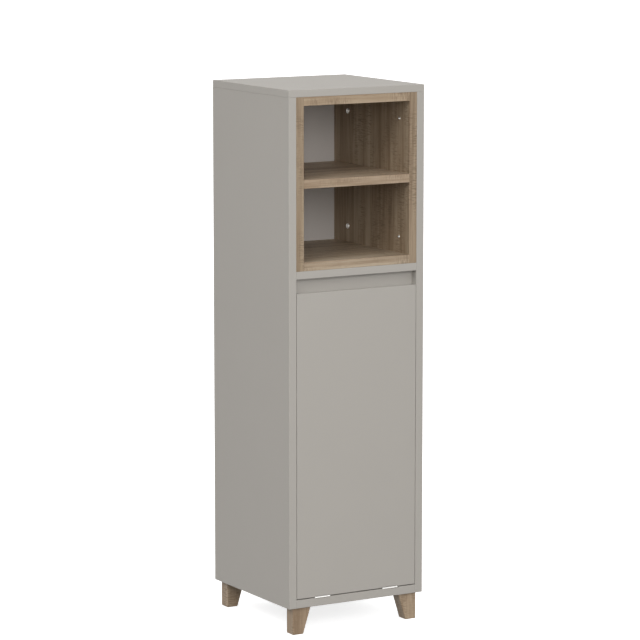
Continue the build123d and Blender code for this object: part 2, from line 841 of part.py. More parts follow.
def stay_band(middle_x, half_width_of_band, first_angle, last_angle):
    """Ring sector about the hinge axis, with a round tail, on the side view's plane."""
    span = last_angle - first_angle
    with BuildSketch(Plane.YZ.offset(middle_x)) as band:
        with BuildLine():
            outer = CenterArc((axis_y, axis_z), stay_radius + half_width_of_band, 90 - last_angle, span)
            inner = CenterArc((axis_y, axis_z), stay_radius - half_width_of_band, 90 - last_angle, span)
            Line(outer @ 0, inner @ 0)
            Line(outer @ 1, inner @ 1)
        make_face()
        with Locations(stay_point(last_angle)):
            Circle(half_width_of_band)
    return band.sketch


# Quadrant stays: a foot on the door, a curved bar about the hinge axis and a hole for the stop
stay_root_angle = degrees(asin((door_back_y - axis_y) / stay_radius)) / 2
for side, hand in SIDES:
    name = f"stay_{hand}"
    with BuildPart() as stay:
        bar = stay_band(side * stay_x, stay_width / 2, stay_root_angle, tail_angle)
        extrude(bar, amount=stay_thickness / 2, both=True)
        split(bisect_by=Plane(origin=(0, door_back_y, 0), z_dir=REARWARD), keep=Keep.TOP)
        foot_x = side * (stay_x + stay_thickness / 2 - stay_foot_length / 2)
        with BuildSketch(Plane(origin=(foot_x, door_back_y, stay_foot_z), x_dir=ACROSS, z_dir=REARWARD)):
            RectangleRounded(stay_foot_length, stay_foot_height, stay_thickness)
        extrude(amount=stay_thickness)
        foot_screws = [plane for plane in stay_screw_planes(stay_thickness) if plane.origin.X * side > 0]
        plain_bore(foot_screws, screw_radius + bore_play, stay_thickness)
        stop_y, stop_z = stay_point(stop_angle)
        with Locations(Plane(origin=(side * stay_x, stop_y, stop_z), z_dir=ACROSS)):
            Cylinder(stop_pin_radius, stay_thickness, mode=Mode.SUBTRACT)
    stay.part.label = name
    export_step(stay.part, f"parts/{name}.step")

# Stops: a pin through each stay with a flange on both faces
with BuildPart() as stay_stops:
    for side, _ in SIDES:
        stop_y, stop_z = stay_point(stop_angle)
        flange_shift = (stay_thickness + stop_flange) / 2
        with Locations(Plane(origin=(side * stay_x, stop_y, stop_z), z_dir=ACROSS)):
            Cylinder(stop_pin_radius, stay_thickness)
            with Locations((0, 0, -flange_shift), (0, 0, flange_shift)):
                Cylinder(stop_radius, stop_flange)
stay_stops.part.label = "stay_stops"
export_step(stay_stops.part, "parts/stay_stops.step")

# Keepers on the side panels, with a curved slot that the stays slide through
slot_half_angle = 2 * keeper_half_angle
for side, hand in SIDES:
    name = f"stay_keeper_{hand}"
    with BuildPart() as stay_keeper:
        with BuildSketch(keeper_plane(side)):
            RectangleRounded(keeper_depth, keeper_height, keeper_corner_radius)
        extrude(amount=keeper_width)
        slot_ends = (keeper_angle - slot_half_angle, keeper_angle + slot_half_angle)
        slot = stay_band(side * stay_x, stay_width / 2 + keeper_play, *slot_ends)
        extrude(slot, amount=stay_thickness / 2 + keeper_play, both=True, mode=Mode.SUBTRACT)
        plain_bore(keeper_screw_planes(side, keeper_width), screw_radius + bore_play, keeper_width)
    stay_keeper.part.label = name
    export_step(stay_keeper.part, f"parts/{name}.step")

# Magnetic catches on the side panels: housing with two ears and a pocket for the magnet
for side, hand in SIDES:
    name = f"catch_{hand}"
    housing_x = side * (inner_half - catch_width / 2)
    ear_x = side * (inner_half - catch_ear_thickness / 2)
    with BuildPart() as catch:
        with BuildSketch(Plane(origin=(housing_x, catch_face_y, catch_z), x_dir=ACROSS, z_dir=REARWARD)):
            Rectangle(catch_width, catch_length)
        extrude(amount=catch_body_depth)
        with BuildSketch(Plane(origin=(ear_x, catch_face_y, catch_z), x_dir=ACROSS, z_dir=REARWARD)):
            Rectangle(catch_ear_thickness, catch_length + 2 * catch_ear_length)
        extrude(amount=catch_body_depth)
        with BuildSketch(Plane(origin=(housing_x, catch_face_y, catch_z), x_dir=ACROSS, z_dir=REARWARD)):
            Rectangle(magnet_width + 2 * pole_thickness, magnet_length)
        extrude(amount=magnet_depth, mode=Mode.SUBTRACT)
        ear_holes = catch_screw_planes(side, catch_ear_thickness)
        plain_bore(ear_holes, screw_radius + bore_play, catch_ear_thickness)
    catch.part.label = name
    export_step(catch.part, f"parts/{name}.step")

# Magnets and their pole plates, one set in each catch
with BuildPart() as catch_magnets:
    for side, _ in SIDES:
        magnet_x = side * (inner_half - catch_width / 2)
        with BuildSketch(Plane(origin=(magnet_x, catch_face_y, catch_z), x_dir=ACROSS, z_dir=REARWARD)):
            Rectangle(magnet_width, magnet_length)
        extrude(amount=magnet_depth)
catch_magnets.part.label = "catch_magnets"
export_step(catch_magnets.part, "parts/catch_magnets.step")

with BuildPart() as catch_poles:
    for side, _ in SIDES:
        magnet_x = side * (inner_half - catch_width / 2)
        pole_shift = (magnet_width + pole_thickness) / 2
        with BuildSketch(Plane(origin=(magnet_x, pole_face_y, catch_z), x_dir=ACROSS, z_dir=REARWARD)):
            with Locations((-pole_shift, 0), (pole_shift, 0)):
                Rectangle(pole_thickness, magnet_length)
        extrude(amount=pole_reach + magnet_depth)
catch_poles.part.label = "catch_poles"
export_step(catch_poles.part, "parts/catch_poles.step")

# Strike plates on the door's back
with BuildPart() as strike_plates:
    for plane in strike_planes(0):
        with BuildSketch(plane):
            Rectangle(strike_width, strike_length)
        extrude(amount=strike_thickness)
    with Locations(*strike_planes(strike_thickness)):
        CounterSinkHole(
            screw_radius + bore_play,
            screw_head_radius + bore_play,
            strike_thickness,
            counter_sink_angle=90,
        )
strike_plates.part.label = "strike_plates"
export_step(strike_plates.part, "parts/strike_plates.step")

# Wire frame of the laundry bag: one bent wire and a crossbar
frame_corners = [
    (-frame_half_width, frame_leg_y, frame_foot_z),
    (-frame_half_width, frame_leg_y, frame_z),
    (-frame_half_width, frame_rear_y, frame_z),
    (frame_half_width, frame_rear_y, frame_z),
    (frame_half_width, frame_leg_y, frame_z),
    (frame_half_width, frame_leg_y, frame_foot_z),
]
frame_bends = [wire_shoulder_bend, wire_rear_bend, wire_rear_bend, wire_shoulder_bend]
with BuildPart() as bag_frame:
    with BuildLine() as frame_route:
        FilletPolyline(*frame_corners, radius=frame_bends)
    with BuildSketch(Plane(origin=frame_corners[0], z_dir=UP)):
        Circle(wire_radius)
    sweep(path=frame_route.line)
    with Locations(Plane(origin=(0, crossbar_y, frame_z), z_dir=ACROSS)):
        Cylinder(wire_radius, 2 * frame_half_width)
bag_frame.part.label = "bag_frame"
export_step(bag_frame.part, "parts/bag_frame.step")

# Socket brackets that the frame's two legs stand in
for side, hand in SIDES:
    name = f"bag_bracket_{hand}"
    socket_depth = frame_leg_y + wire_radius + bracket_wall - door_back_y
    bracket_x = side * frame_half_width
    plate_middle = (bracket_x, door_back_y, bracket_mid_z)
    with BuildPart() as bag_bracket:
        with BuildSketch(Plane(origin=plate_middle, x_dir=ACROSS, z_dir=REARWARD)):
            RectangleRounded(bracket_plate_width, bracket_plate_height, bracket_wall)
        extrude(amount=bracket_plate)
        with BuildSketch(Plane.XY.offset(bracket_base)):
            with Locations((bracket_x, door_back_y + socket_depth / 2)):
                Rectangle(bracket_width, socket_depth)
        extrude(amount=bracket_height)
        outer_edges = bag_bracket.faces().sort_by(Axis.Y)[-1].edges().filter_by(Axis.Z)
        fillet(outer_edges, bracket_wall)
        with Locations(Plane(origin=(bracket_x, frame_leg_y, bracket_base + bracket_height), z_dir=UP)):
            Hole(wire_radius + bore_play, bracket_height - bracket_floor)
        plate_screws = [p for p in bracket_screw_planes(bracket_plate) if p.origin.X * side > 0]
        plain_bore(plate_screws, screw_radius + bore_play, bracket_plate)
    bag_bracket.part.label = name
    export_step(bag_bracket.part, f"parts/{name}.step")

# Laundry bag: hem tunnels on the four wires and a tapering open-topped bag under them
hem_side_length = frame_rear_y - crossbar_y - hem_corner_front - hem_corner_rear
hem_side_y = (crossbar_y + hem_corner_front + frame_rear_y - hem_corner_rear) / 2
hem_runs = [
    (Plane(origin=(-frame_half_width, hem_side_y, frame_z), z_dir=REARWARD), hem_side_length),
    (Plane(origin=(frame_half_width, hem_side_y, frame_z), z_dir=REARWARD), hem_side_length),
    (Plane(origin=(0, crossbar_y, frame_z), z_dir=ACROSS), 2 * (frame_half_width - hem_corner_front)),
    (Plane(origin=(0, frame_rear_y, frame_z), z_dir=ACROSS), 2 * (frame_half_width - hem_corner_rear)),
]
bag_rim_z = frame_z - hem_half
bag_drop = bag_rim_z - bottom_top - bag_floor_gap
bag_mid_y = (crossbar_y + frame_rear_y) / 2
bag_width = 2 * frame_half_width + fabric_thickness
bag_depth = frame_rear_y - crossbar_y + fabric_thickness


def bag_section(height, inset):
    """Rounded outline of the bag at a height below its rim, drawn in by the taper."""
    width = bag_width - 2 * inset
    depth = bag_depth - 2 * inset
    with BuildSketch(Plane(origin=(0, bag_mid_y, bag_rim_z - height), z_dir=UP)) as section:
        RectangleRounded(width, depth, bag_corner_radius - fabric_thickness / 2)
    return section.sketch


with BuildPart() as laundry_bag:
    loft([bag_section(bag_drop, bag_taper), bag_section(0, 0)])
    inner_bottom = bag_section(bag_drop - fabric_thickness, bag_taper + fabric_thickness)
    loft([inner_bottom, bag_section(0, fabric_thickness)], mode=Mode.SUBTRACT)
    for middle, length in hem_runs:
        with BuildSketch(middle):
            Rectangle(2 * hem_half, 2 * hem_half)
        extrude(amount=length / 2, both=True)
    for middle, length in hem_runs:
        with Locations(middle):
            Cylinder(wire_radius, length, mode=Mode.SUBTRACT)
laundry_bag.part.label = "laundry_bag"
export_step(laundry_bag.part, "parts/laundry_bag.step")

# Screws and bolts, one node for each kind and place
screw_groups = {
    "hinge_base_screws": (hinge_screw_length, ear_planes(base_cup_planes(hinge_plate))),
    "hinge_arm_screws": (hinge_screw_length, ear_planes(door_cup_planes(hinge_plate))),
    "stay_screws": (stay_screw_length, stay_screw_planes(stay_thickness)),
    "bracket_screws": (bracket_screw_length, bracket_screw_planes(bracket_plate)),
    "keeper_screws": (
        keeper_screw_length,
        [plane for side, _ in SIDES for plane in keeper_screw_planes(side, keeper_width)],
    ),
    "catch_screws": (
        catch_screw_length,
        [plane for side, _ in SIDES for plane in catch_screw_planes(side, catch_ear_thickness)],
    ),
}
for name, (length, planes) in screw_groups.items():
    shape = pan_screw(length, screw_radius, screw_head_radius, screw_head_height)
    with BuildPart() as screw_group:
        with Locations(*planes):
            add(shape)
    screw_group.part.label = name
    export_step(screw_group.part, f"parts/{name}.step")

with BuildPart() as strike_screws:
    with Locations(*strike_planes(strike_thickness)):
        add(countersunk_screw(strike_screw_length, screw_radius, screw_head_radius))
strike_screws.part.label = "strike_screws"
export_step(strike_screws.part, "parts/strike_screws.step")

with BuildPart() as leg_screws:
    with Locations(*all_leg_screw_planes):
        add(countersunk_screw(leg_screw_length, leg_screw_radius, leg_screw_head_radius))
leg_screws.part.label = "leg_screws"
export_step(leg_screws.part, "parts/leg_screws.step")

niche_fixings = {
    "niche_screws": (niche_screw_y, niche_screw_radius, niche_screw_head_radius, niche_screw_head_height),
    "niche_bolts": (niche_bolt_y, niche_bolt_radius, niche_bolt_head_radius, niche_bolt_head_height),
}
for name, (y, shank_radius, head_radius, head_height) in niche_fixings.items():
    shape = pan_screw(niche_fixing_length, shank_radius, head_radius, head_height)
    with BuildPart() as fixing_group:
        with Locations(*[plane for side, _ in SIDES for plane in niche_fixing_planes(side, y)]):
            add(shape)
    fixing_group.part.label = name
    export_step(fixing_group.part, f"parts/{name}.step")
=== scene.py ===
import math

import bmesh
import bpy
from mathutils import Matrix, Vector, noise


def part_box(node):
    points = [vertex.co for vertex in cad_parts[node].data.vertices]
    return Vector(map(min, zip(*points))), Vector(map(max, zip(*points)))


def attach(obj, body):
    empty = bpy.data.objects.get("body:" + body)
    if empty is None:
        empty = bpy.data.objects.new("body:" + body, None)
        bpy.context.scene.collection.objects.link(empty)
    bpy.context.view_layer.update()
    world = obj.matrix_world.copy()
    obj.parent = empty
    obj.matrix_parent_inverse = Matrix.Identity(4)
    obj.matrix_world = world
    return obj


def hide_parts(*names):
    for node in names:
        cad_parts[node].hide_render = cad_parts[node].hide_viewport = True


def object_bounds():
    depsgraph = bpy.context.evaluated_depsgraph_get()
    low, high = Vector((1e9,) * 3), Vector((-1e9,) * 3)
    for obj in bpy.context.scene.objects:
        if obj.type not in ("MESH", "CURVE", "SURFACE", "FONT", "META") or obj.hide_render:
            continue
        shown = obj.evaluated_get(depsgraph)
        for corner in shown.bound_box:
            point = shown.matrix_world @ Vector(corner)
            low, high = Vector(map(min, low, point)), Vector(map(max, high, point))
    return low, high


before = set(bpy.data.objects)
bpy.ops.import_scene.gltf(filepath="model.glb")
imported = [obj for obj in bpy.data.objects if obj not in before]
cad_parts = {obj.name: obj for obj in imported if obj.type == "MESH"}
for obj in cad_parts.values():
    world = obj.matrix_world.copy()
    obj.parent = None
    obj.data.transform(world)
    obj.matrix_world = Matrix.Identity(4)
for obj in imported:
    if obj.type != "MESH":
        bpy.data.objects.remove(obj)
frame_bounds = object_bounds()

bl_info = {
    "name": "Bathroom Cabinet with Hamper",
    "version": (1, 0, 0),
    "blender": (4, 5, 0),
    "location": "View3D > Sidebar > Cabinet",
    "description": "Dresses a tall bathroom cabinet with an oak niche and a tip-out hamper",
    "category": "Object",
}

MM = 0.001

# Axes of the frame, as indices
ACROSS, UPRIGHT = 0, 2

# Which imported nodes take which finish
GREY_BOARDS = (
    "top_panel", "side_panel_left", "side_panel_right", "bottom_panel", "divider_panel", "grip_rail",
    "door_panel",
)
OAK_UPRIGHTS = ("niche_side_left", "niche_side_right")
OAK_LEVELS = ("niche_top", "niche_shelf", "niche_bottom")
LEGS = ("leg_front_left", "leg_front_right", "leg_rear_left", "leg_rear_right")
HINGES = (
    "hinge_base_left", "hinge_base_right", "hinge_arm_left", "hinge_arm_right", "hinge_pin_left",
    "hinge_pin_right",
)
STAYS = ("stay_left", "stay_right")
GREY_MOULDINGS = (
    "stay_keeper_left", "stay_keeper_right", "catch_left", "catch_right", "bag_bracket_left",
    "bag_bracket_right",
)
ZINC_PLATED = (
    "hinge_base_screws", "hinge_arm_screws", "stay_screws", "bracket_screws", "keeper_screws", "catch_screws",
    "strike_screws", "leg_screws", "confirmats", "cam_bolts", "catch_poles", "strike_plates",
)
NICHE_FIXINGS = ("niche_screws", "niche_bolts")

# Painted light and shade on each oak board: lit and shaded copies of the oak's own colours, in red, green and
# blue; the shelf and bottom are painted lighter and bluer, the uprights and the top darker
OAK_PAINTED_LIGHT = {
    "niche_side_left": (0.78, 0.78, 0.77),
    "niche_side_right": (0.82, 0.83, 0.84),
    "niche_top": (0.92, 0.92, 0.92),
    "niche_shelf": (1.15, 1.19, 1.27),
    "niche_bottom": (1.06, 1.12, 1.20),
}
# Painted shade on the legs: their oak colours are made darker
LEG_PAINTED_SHADE = (0.91, 0.90, 0.90)

# From one oak board's stretch of grain to the next one's
GRAIN_STEP = (3.7, 5.3, 7.9)

# Gloss of the boards
BOARD_SPECULAR = 0.35
OAK_ROUGHNESS = 0.5

# Colours of the fittings
BRIGHT_NICKEL = (0.8, 0.785, 0.76)
STAY_ZINC = (0.43, 0.44, 0.45)
SCREW_ZINC = (0.66, 0.67, 0.68)
BRIGHT_STEEL = (0.93, 0.92, 0.9)
DIE_CAST_ZINC = (0.5, 0.5, 0.5)
BLACK_RUBBER = (0.025, 0.025, 0.025)
DARK_FERRITE = (0.05, 0.05, 0.055)
WHITE_COATING = (0.8, 0.8, 0.79)
PALE_BEECH = (0.6, 0.43, 0.28)

# Distance after which a wave texture of scale 1 repeats
WAVE_TURN = math.tau / 20

# Bits that mark the bag's seams on its vertices
CORNER_SEAM, FLOOR_SEAM = 1, 2

# Mesh of the bag: size of a cell, how far the wall goes up behind the hem's seam, how near a wall a
# point counts as on it, and up to which share of the wall's height it counts as on the floor
CELL = 8.5 * MM
RIM_RISE = 6.0 * MM
NEAR_WALL = 0.1 * MM
FLOOR_SHARE = 0.001

# What the hems hold of the bag: how far below their seam, and how far in from the wires
HELD_DROP = 8.0 * MM
HELD_DEPTH = 1.5 * MM

# How the canvas behaves while it hangs, for how many frames, and how far a point may move
CANVAS = {
    "quality": 6,
    "mass": 0.3,
    "tension_stiffness": 20.0,
    "compression_stiffness": 20.0,
    "shear_stiffness": 8.0,
    "bending_stiffness": 0.4,
    "air_damping": 3.0,
}
HANG_FRAMES = 45
HANG_REACH = 14.0 * MM

# Ripples of the canvas: how tight they are along each axis
FLOW_SCALE, FLOW_DEPTH = (14, 14, 5), 4.0 * MM
FOLD_SCALE = (26, 26, 4)
CREASE_SCALE, CREASE_SHIFT = (13, 13, 19), (7, 0, 0)
CREASE_LEVEL, CREASE_SHARE = 0.3, 0.8
PUCKER_SCALE, PUCKER_DEPTH = 160, 0.5 * MM

# Hem: length of a cell, how its rows share the swell over the wire, rows round the wire, how near
# two points are welded, and how much the cloth's map leans across the hem
HEM_STEP = 6.0 * MM
HEM_SWELL = (0.4, 1.2, 1.4)
HEM_TURN_ROWS = 8
HEM_WELD = 0.01 * MM
HEM_LEAN = 0.5

# A stitch: half its length, height and thickness, and its lift in thicknesses of the canvas
STITCH_HALF = Vector((1.5, 0.28, 0.22)) * MM
STITCH_LIFT = 1.5

# Soft boxes: name, setting of the power, degrees to the left of the front, degrees of lift
SOFT_BOXES = (
    ("front_light", "front_power", 0.0, 15.0),
    ("key_light", "key_power", 30.0, 15.0),
    ("side_light", "side_power", 60.0, 35.0),
)

# Height over which the sky fades into the ground, above and below the horizon
HORIZON = 0.05


class Finish:
    """A node material being built: its shader and short calls that add nodes."""

    def __init__(self, name, roughness, metallic=0.0):
        self.material = bpy.data.materials.new(name)
        self.material.use_nodes = True
        self.tree = self.material.node_tree
        self.shader = self.tree.nodes["Principled BSDF"]
        self.shader.inputs["Roughness"].default_value = roughness
        self.shader.inputs["Metallic"].default_value = metallic
        self.place = self.tree.nodes.new("ShaderNodeTexCoord")

    def node(self, kind, inputs=(), **settings):
        """Adds a node with its settings; inputs are pairs of socket and value or output."""
        made = self.tree.nodes.new(kind)
        for key, value in settings.items():
            setattr(made, key, value)
        for key, value in inputs:
            self.feed(made.inputs[key], value)
        return made

    def feed(self, socket, value):
        """Links an output into a socket, or sets the socket's own value."""
        if isinstance(value, bpy.types.NodeSocket):
            self.tree.links.new(value, socket)
        else:
            socket.default_value = value

    def spread(self, scale=(1, 1, 1), shift=(0, 0, 0), source="Object"):
        """Coordinates stretched by a scale for each axis and moved by a shift."""
        inputs = (("Vector", self.place.outputs[source]), ("Location", shift), ("Scale", scale))
        return self.node("ShaderNodeMapping", inputs).outputs["Vector"]

    def noise(self, vector, scale=1.0, detail=2.0, roughness=0.5, distortion=0.0):
        """Cloudy noise from 0 to 1."""
        inputs = (
            ("Vector", vector),
            ("Scale", scale),
            ("Detail", detail),
            ("Roughness", roughness),
            ("Distortion", distortion),
        )
        return self.node("ShaderNodeTexNoise", inputs).outputs["Fac"]

    def wave(self, vector, scale, direction, distortion, detail, detail_scale):
        """Even bands across one direction, from 0 to 1."""
        inputs = (
            ("Vector", vector),
            ("Scale", scale),
            ("Distortion", distortion),
            ("Detail", detail),
            ("Detail Scale", detail_scale),
        )
        return self.node("ShaderNodeTexWave", inputs, bands_direction=direction).outputs["Fac"]

    def ramp(self, value, stops):
        """A colour or grey ramp; stops are pairs of position and colour or grey."""
        made = self.node("ShaderNodeValToRGB", (("Fac", value),))
        elements = made.color_ramp.elements
        while len(elements) < len(stops):
            elements.new(1.0)
        for element, (position, colour) in zip(elements, stops):
            element.position = position
            element.color = (*colour, 1.0) if hasattr(colour, "__len__") else (colour, colour, colour, 1.0)
        return made.outputs["Color"]

    def blend(self, share, low, high):
        """Mix of two colours or outputs."""
        return self.node("ShaderNodeMix", ((0, share), (6, low), (7, high)), data_type="RGBA").outputs[2]

    def combine(self, first, second, operation="ADD"):
        """Sum of two values, or what another operation makes of them."""
        return self.node("ShaderNodeMath", ((0, first), (1, second)), operation=operation).outputs[0]

    def rescale(self, value, low, high):
        """Spreads a value from 0..1 onto low..high."""
        inputs = (("Value", value), ("To Min", low), ("To Max", high))
        return self.node("ShaderNodeMapRange", inputs).outputs["Result"]

    def bump(self, height, distance, strength, under=None):
        """Normals of a relief, on top of those of another where one is given."""
        inputs = [("Height", height), ("Distance", distance), ("Strength", strength)]
        if under is not None:
            inputs.append(("Normal", under))
        return self.node("ShaderNodeBump", inputs).outputs["Normal"]

    def done(self, colour, roughness=None, normal=None):
        """Feeds the shader and gives back the material."""
        self.feed(self.shader.inputs["Base Color"], colour)
        if roughness is not None:
            self.feed(self.shader.inputs["Roughness"], roughness)
        if normal is not None:
            self.feed(self.shader.inputs["Normal"], normal)
        return self.material


def tint(colour, factor):
    """An opaque colour made lighter or darker."""
    return (*[min(1.0, channel * factor) for channel in colour[:3]], 1.0)


def melamine(name, colour, roughness):
    """Matt melamine-faced board: faint clouding and a fine pearl embossing."""
    finish = Finish(name, roughness)
    finish.shader.inputs["Specular IOR Level"].default_value = BOARD_SPECULAR
    place = finish.spread()
    clouds = finish.noise(place, scale=7.0, detail=3.0)
    specks = finish.noise(place, scale=1500.0)
    pearl = finish.noise(place, scale=260.0)
    tone = finish.blend(clouds, tint(colour, 0.985), tint(colour, 1.015))
    shade = finish.blend(finish.rescale(specks, 0.0, 0.05), tone, tint(colour, 0.8))
    gloss = finish.rescale(pearl, roughness - 0.06, roughness + 0.06)
    return finish.done(shade, gloss, finish.bump(specks, distance=0.03 * MM, strength=0.5))


def oak(name, grain, shift, settings, shade):
    """Light sawn oak: broad tone, streaks, growth rings, fibres, pores and saw marks across the grain, with
    the board's painted light and shade.
    """
    finish = Finish(name, OAK_ROUGHNESS)
    finish.shader.inputs["Specular IOR Level"].default_value = BOARD_SPECULAR

    def along(across_scale, grain_scale):
        scale = [across_scale] * 3
        scale[grain] = grain_scale
        return finish.spread(scale, shift)

    broad = finish.noise(along(13, 1.6), detail=3.0, roughness=0.55)
    streaks = finish.noise(along(46, 2.0), detail=3.0, roughness=0.55, distortion=0.5)
    slow = finish.noise(along(16, 1.1), detail=1.0, roughness=0.4)
    rings = finish.combine(finish.rescale(slow, 0.0, 14.0), 0.5, "PINGPONG")
    fibres = finish.noise(along(260, 7), detail=6.0, roughness=0.7)
    fine = finish.noise(along(900, 26), detail=3.0, roughness=0.6)
    pores = finish.ramp(finish.noise(along(1300, 60), detail=1.0), ((0.62, 0.0), (0.72, 1.0)))
    saw_place = finish.ramp(finish.noise(along(30, 9)), ((0.46, 0.0), (0.6, 1.0)))
    saw = finish.ramp(finish.noise(along(60, 480), roughness=0.6), ((0.47, 0.0), (0.62, 1.0)))
    marks = finish.combine(finish.rescale(saw, 0.0, 0.75), saw_place, "MULTIPLY")

    tone = finish.rescale(broad, 0.0, 0.96)
    layers = ((streaks, -0.95, 0.95), (rings, -0.1, 0.3), (fibres, -0.75, 0.75), (fine, -0.3, 0.3))
    for layer, low, high in layers:
        tone = finish.combine(tone, finish.rescale(layer, low, high))
    # Painted light and shade: the board's dark, middle and light oak colours are made lighter or darker by
    # the share given for it
    dark, middle, light = (
        [channel * share for channel, share in zip(oak_colour, shade)]
        for oak_colour in (settings.oak_dark, settings.oak_middle, settings.oak_light)
    )
    colour = finish.ramp(tone, ((0.05, dark), (0.45, middle), (0.95, light)))
    colour = finish.blend(finish.rescale(pores, 0.0, 0.35), colour, tint(dark, 0.75))
    colour = finish.blend(marks, colour, tint(dark, 0.78))
    height = finish.combine(fibres, finish.rescale(pores, 0.0, -0.8))
    height = finish.combine(height, finish.rescale(marks, 0.0, -0.6))
    gloss = finish.rescale(fibres, OAK_ROUGHNESS - 0.08, OAK_ROUGHNESS + 0.1)
    return finish.done(colour, gloss, finish.bump(height, distance=0.08 * MM, strength=0.6))


def hardboard(name, face_colour, raw_colour, face_limit):
    """Thin fibreboard: lacquered on the side towards the cabinet, raw brown fibres behind."""
    finish = Finish(name, roughness=0.6)
    fibres = finish.noise(finish.spread((240, 240, 420)), detail=6.0, roughness=0.75, distortion=0.8)
    mottle = finish.noise(finish.spread(), scale=28.0, detail=4.0)
    raw = finish.ramp(fibres, ((0.3, tint(raw_colour, 0.7)[:3]), (0.7, tint(raw_colour, 1.25)[:3])))
    raw = finish.blend(finish.rescale(mottle, 0.0, 0.4), raw, tint(raw_colour, 0.8))
    face = finish.blend(mottle, tint(face_colour, 0.98), tint(face_colour, 1.02))
    axes = finish.node("ShaderNodeSeparateXYZ", (("Vector", finish.place.outputs["Object"]),))
    behind = finish.combine(axes.outputs["Y"], face_limit, "GREATER_THAN")
    colour = finish.blend(behind, face, raw)
    gloss = finish.rescale(behind, 0.5, 0.85)
    return finish.done(colour, gloss, finish.bump(fibres, distance=0.05 * MM, strength=0.4))


def plated(name, colour, roughness, scratch=0.0):
    """Plated or blasted metal with fine drawn lines."""
    finish = Finish(name, roughness, metallic=1.0)
    drawn = finish.noise(finish.spread((60, 900, 900)), detail=3.0)
    cloud = finish.noise(finish.spread(), scale=90.0)
    shade = finish.blend(cloud, tint(colour, 0.94), tint(colour, 1.04))
    gloss = finish.rescale(drawn, roughness - 0.06, roughness + 0.1)
    return finish.done(shade, gloss, finish.bump(drawn, distance=0.02 * MM, strength=0.3 + scratch))


def moulded(name, colour, roughness, grain):
    """Moulded plastic, rubber, ferrite or thread with a fine eroded grain."""
    finish = Finish(name, roughness)
    place = finish.spread()
    grit = finish.noise(place, scale=2200.0)
    cloud = finish.noise(place, scale=45.0)
    shade = finish.blend(cloud, tint(colour, 0.95), tint(colour, 1.05))
    gloss = finish.rescale(grit, roughness - 0.07, roughness + 0.07)
    return finish.done(shade, gloss, finish.bump(grit, distance=0.03 * MM, strength=grain))


def coated_wire(name, colour):
    """Powder-coated wire: slightly uneven, half gloss."""
    finish = Finish(name, roughness=0.35)
    place = finish.spread()
    peel = finish.noise(place, scale=650.0)
    cloud = finish.noise(place, scale=60.0)
    shade = finish.blend(cloud, tint(colour, 0.97), tint(colour, 1.03))
    gloss = finish.rescale(peel, 0.28, 0.45)
    return finish.done(shade, gloss, finish.bump(peel, distance=0.06 * MM, strength=0.4))


def plain_wood(name, colour, grain):
    """Pale turned hardwood."""
    finish = Finish(name, roughness=0.55)
    scale = [300.0] * 3
    scale[grain] = 12.0
    fibres = finish.noise(finish.spread(scale), detail=4.0, roughness=0.6)
    shade = finish.ramp(fibres, ((0.3, tint(colour, 0.8)[:3]), (0.7, tint(colour, 1.15)[:3])))
    gloss = finish.rescale(fibres, 0.5, 0.65)
    return finish.done(shade, gloss, finish.bump(fibres, distance=0.05 * MM, strength=0.5))


def woven_cotton(name, colour, rib_pitch):
    """Unbleached cotton: a ribbed weave on the cloth's own map, with painted shade in its hollows, slubs and
    faint clouds.
    """
    finish = Finish(name, roughness=0.9)
    finish.shader.inputs["Sheen Weight"].default_value = 0.25
    finish.shader.inputs["Sheen Roughness"].default_value = 0.5
    cloth = finish.spread(source="UV")
    scale = WAVE_TURN / rib_pitch
    warp, weft = (
        finish.wave(cloth, scale, direction, distortion=0.6, detail=1.0, detail_scale=4.0)
        for direction in "XY"
    )
    weave = finish.combine(warp, weft, "MULTIPLY")
    slub = finish.noise(finish.spread((900, 60, 1), source="UV"), detail=3.0)
    slub_across = finish.noise(finish.spread((60, 900, 1), source="UV"), detail=3.0)
    yarn = finish.combine(slub, slub_across, "MULTIPLY")
    cloud = finish.noise(cloth, scale=14.0, detail=4.0)
    shade = finish.blend(cloud, tint(colour, 0.93), tint(colour, 1.04))
    # Painted shade: the hollows between the weave's ribs are darkened towards 0.7 of the cloth's colour
    shade = finish.blend(finish.rescale(weave, 0.25, 0.0), shade, tint(colour, 0.7))
    shade = finish.blend(finish.rescale(yarn, 0.25, 0.0), shade, tint(colour, 0.8))
    relief = finish.bump(yarn, distance=0.3 * MM, strength=0.4)
    return finish.done(shade, normal=finish.bump(weave, distance=0.25 * MM, strength=0.6, under=relief))


def dress(names, material):
    """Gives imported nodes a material."""
    for name in names:
        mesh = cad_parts[name].data
        mesh.materials.clear()
        mesh.materials.append(material)


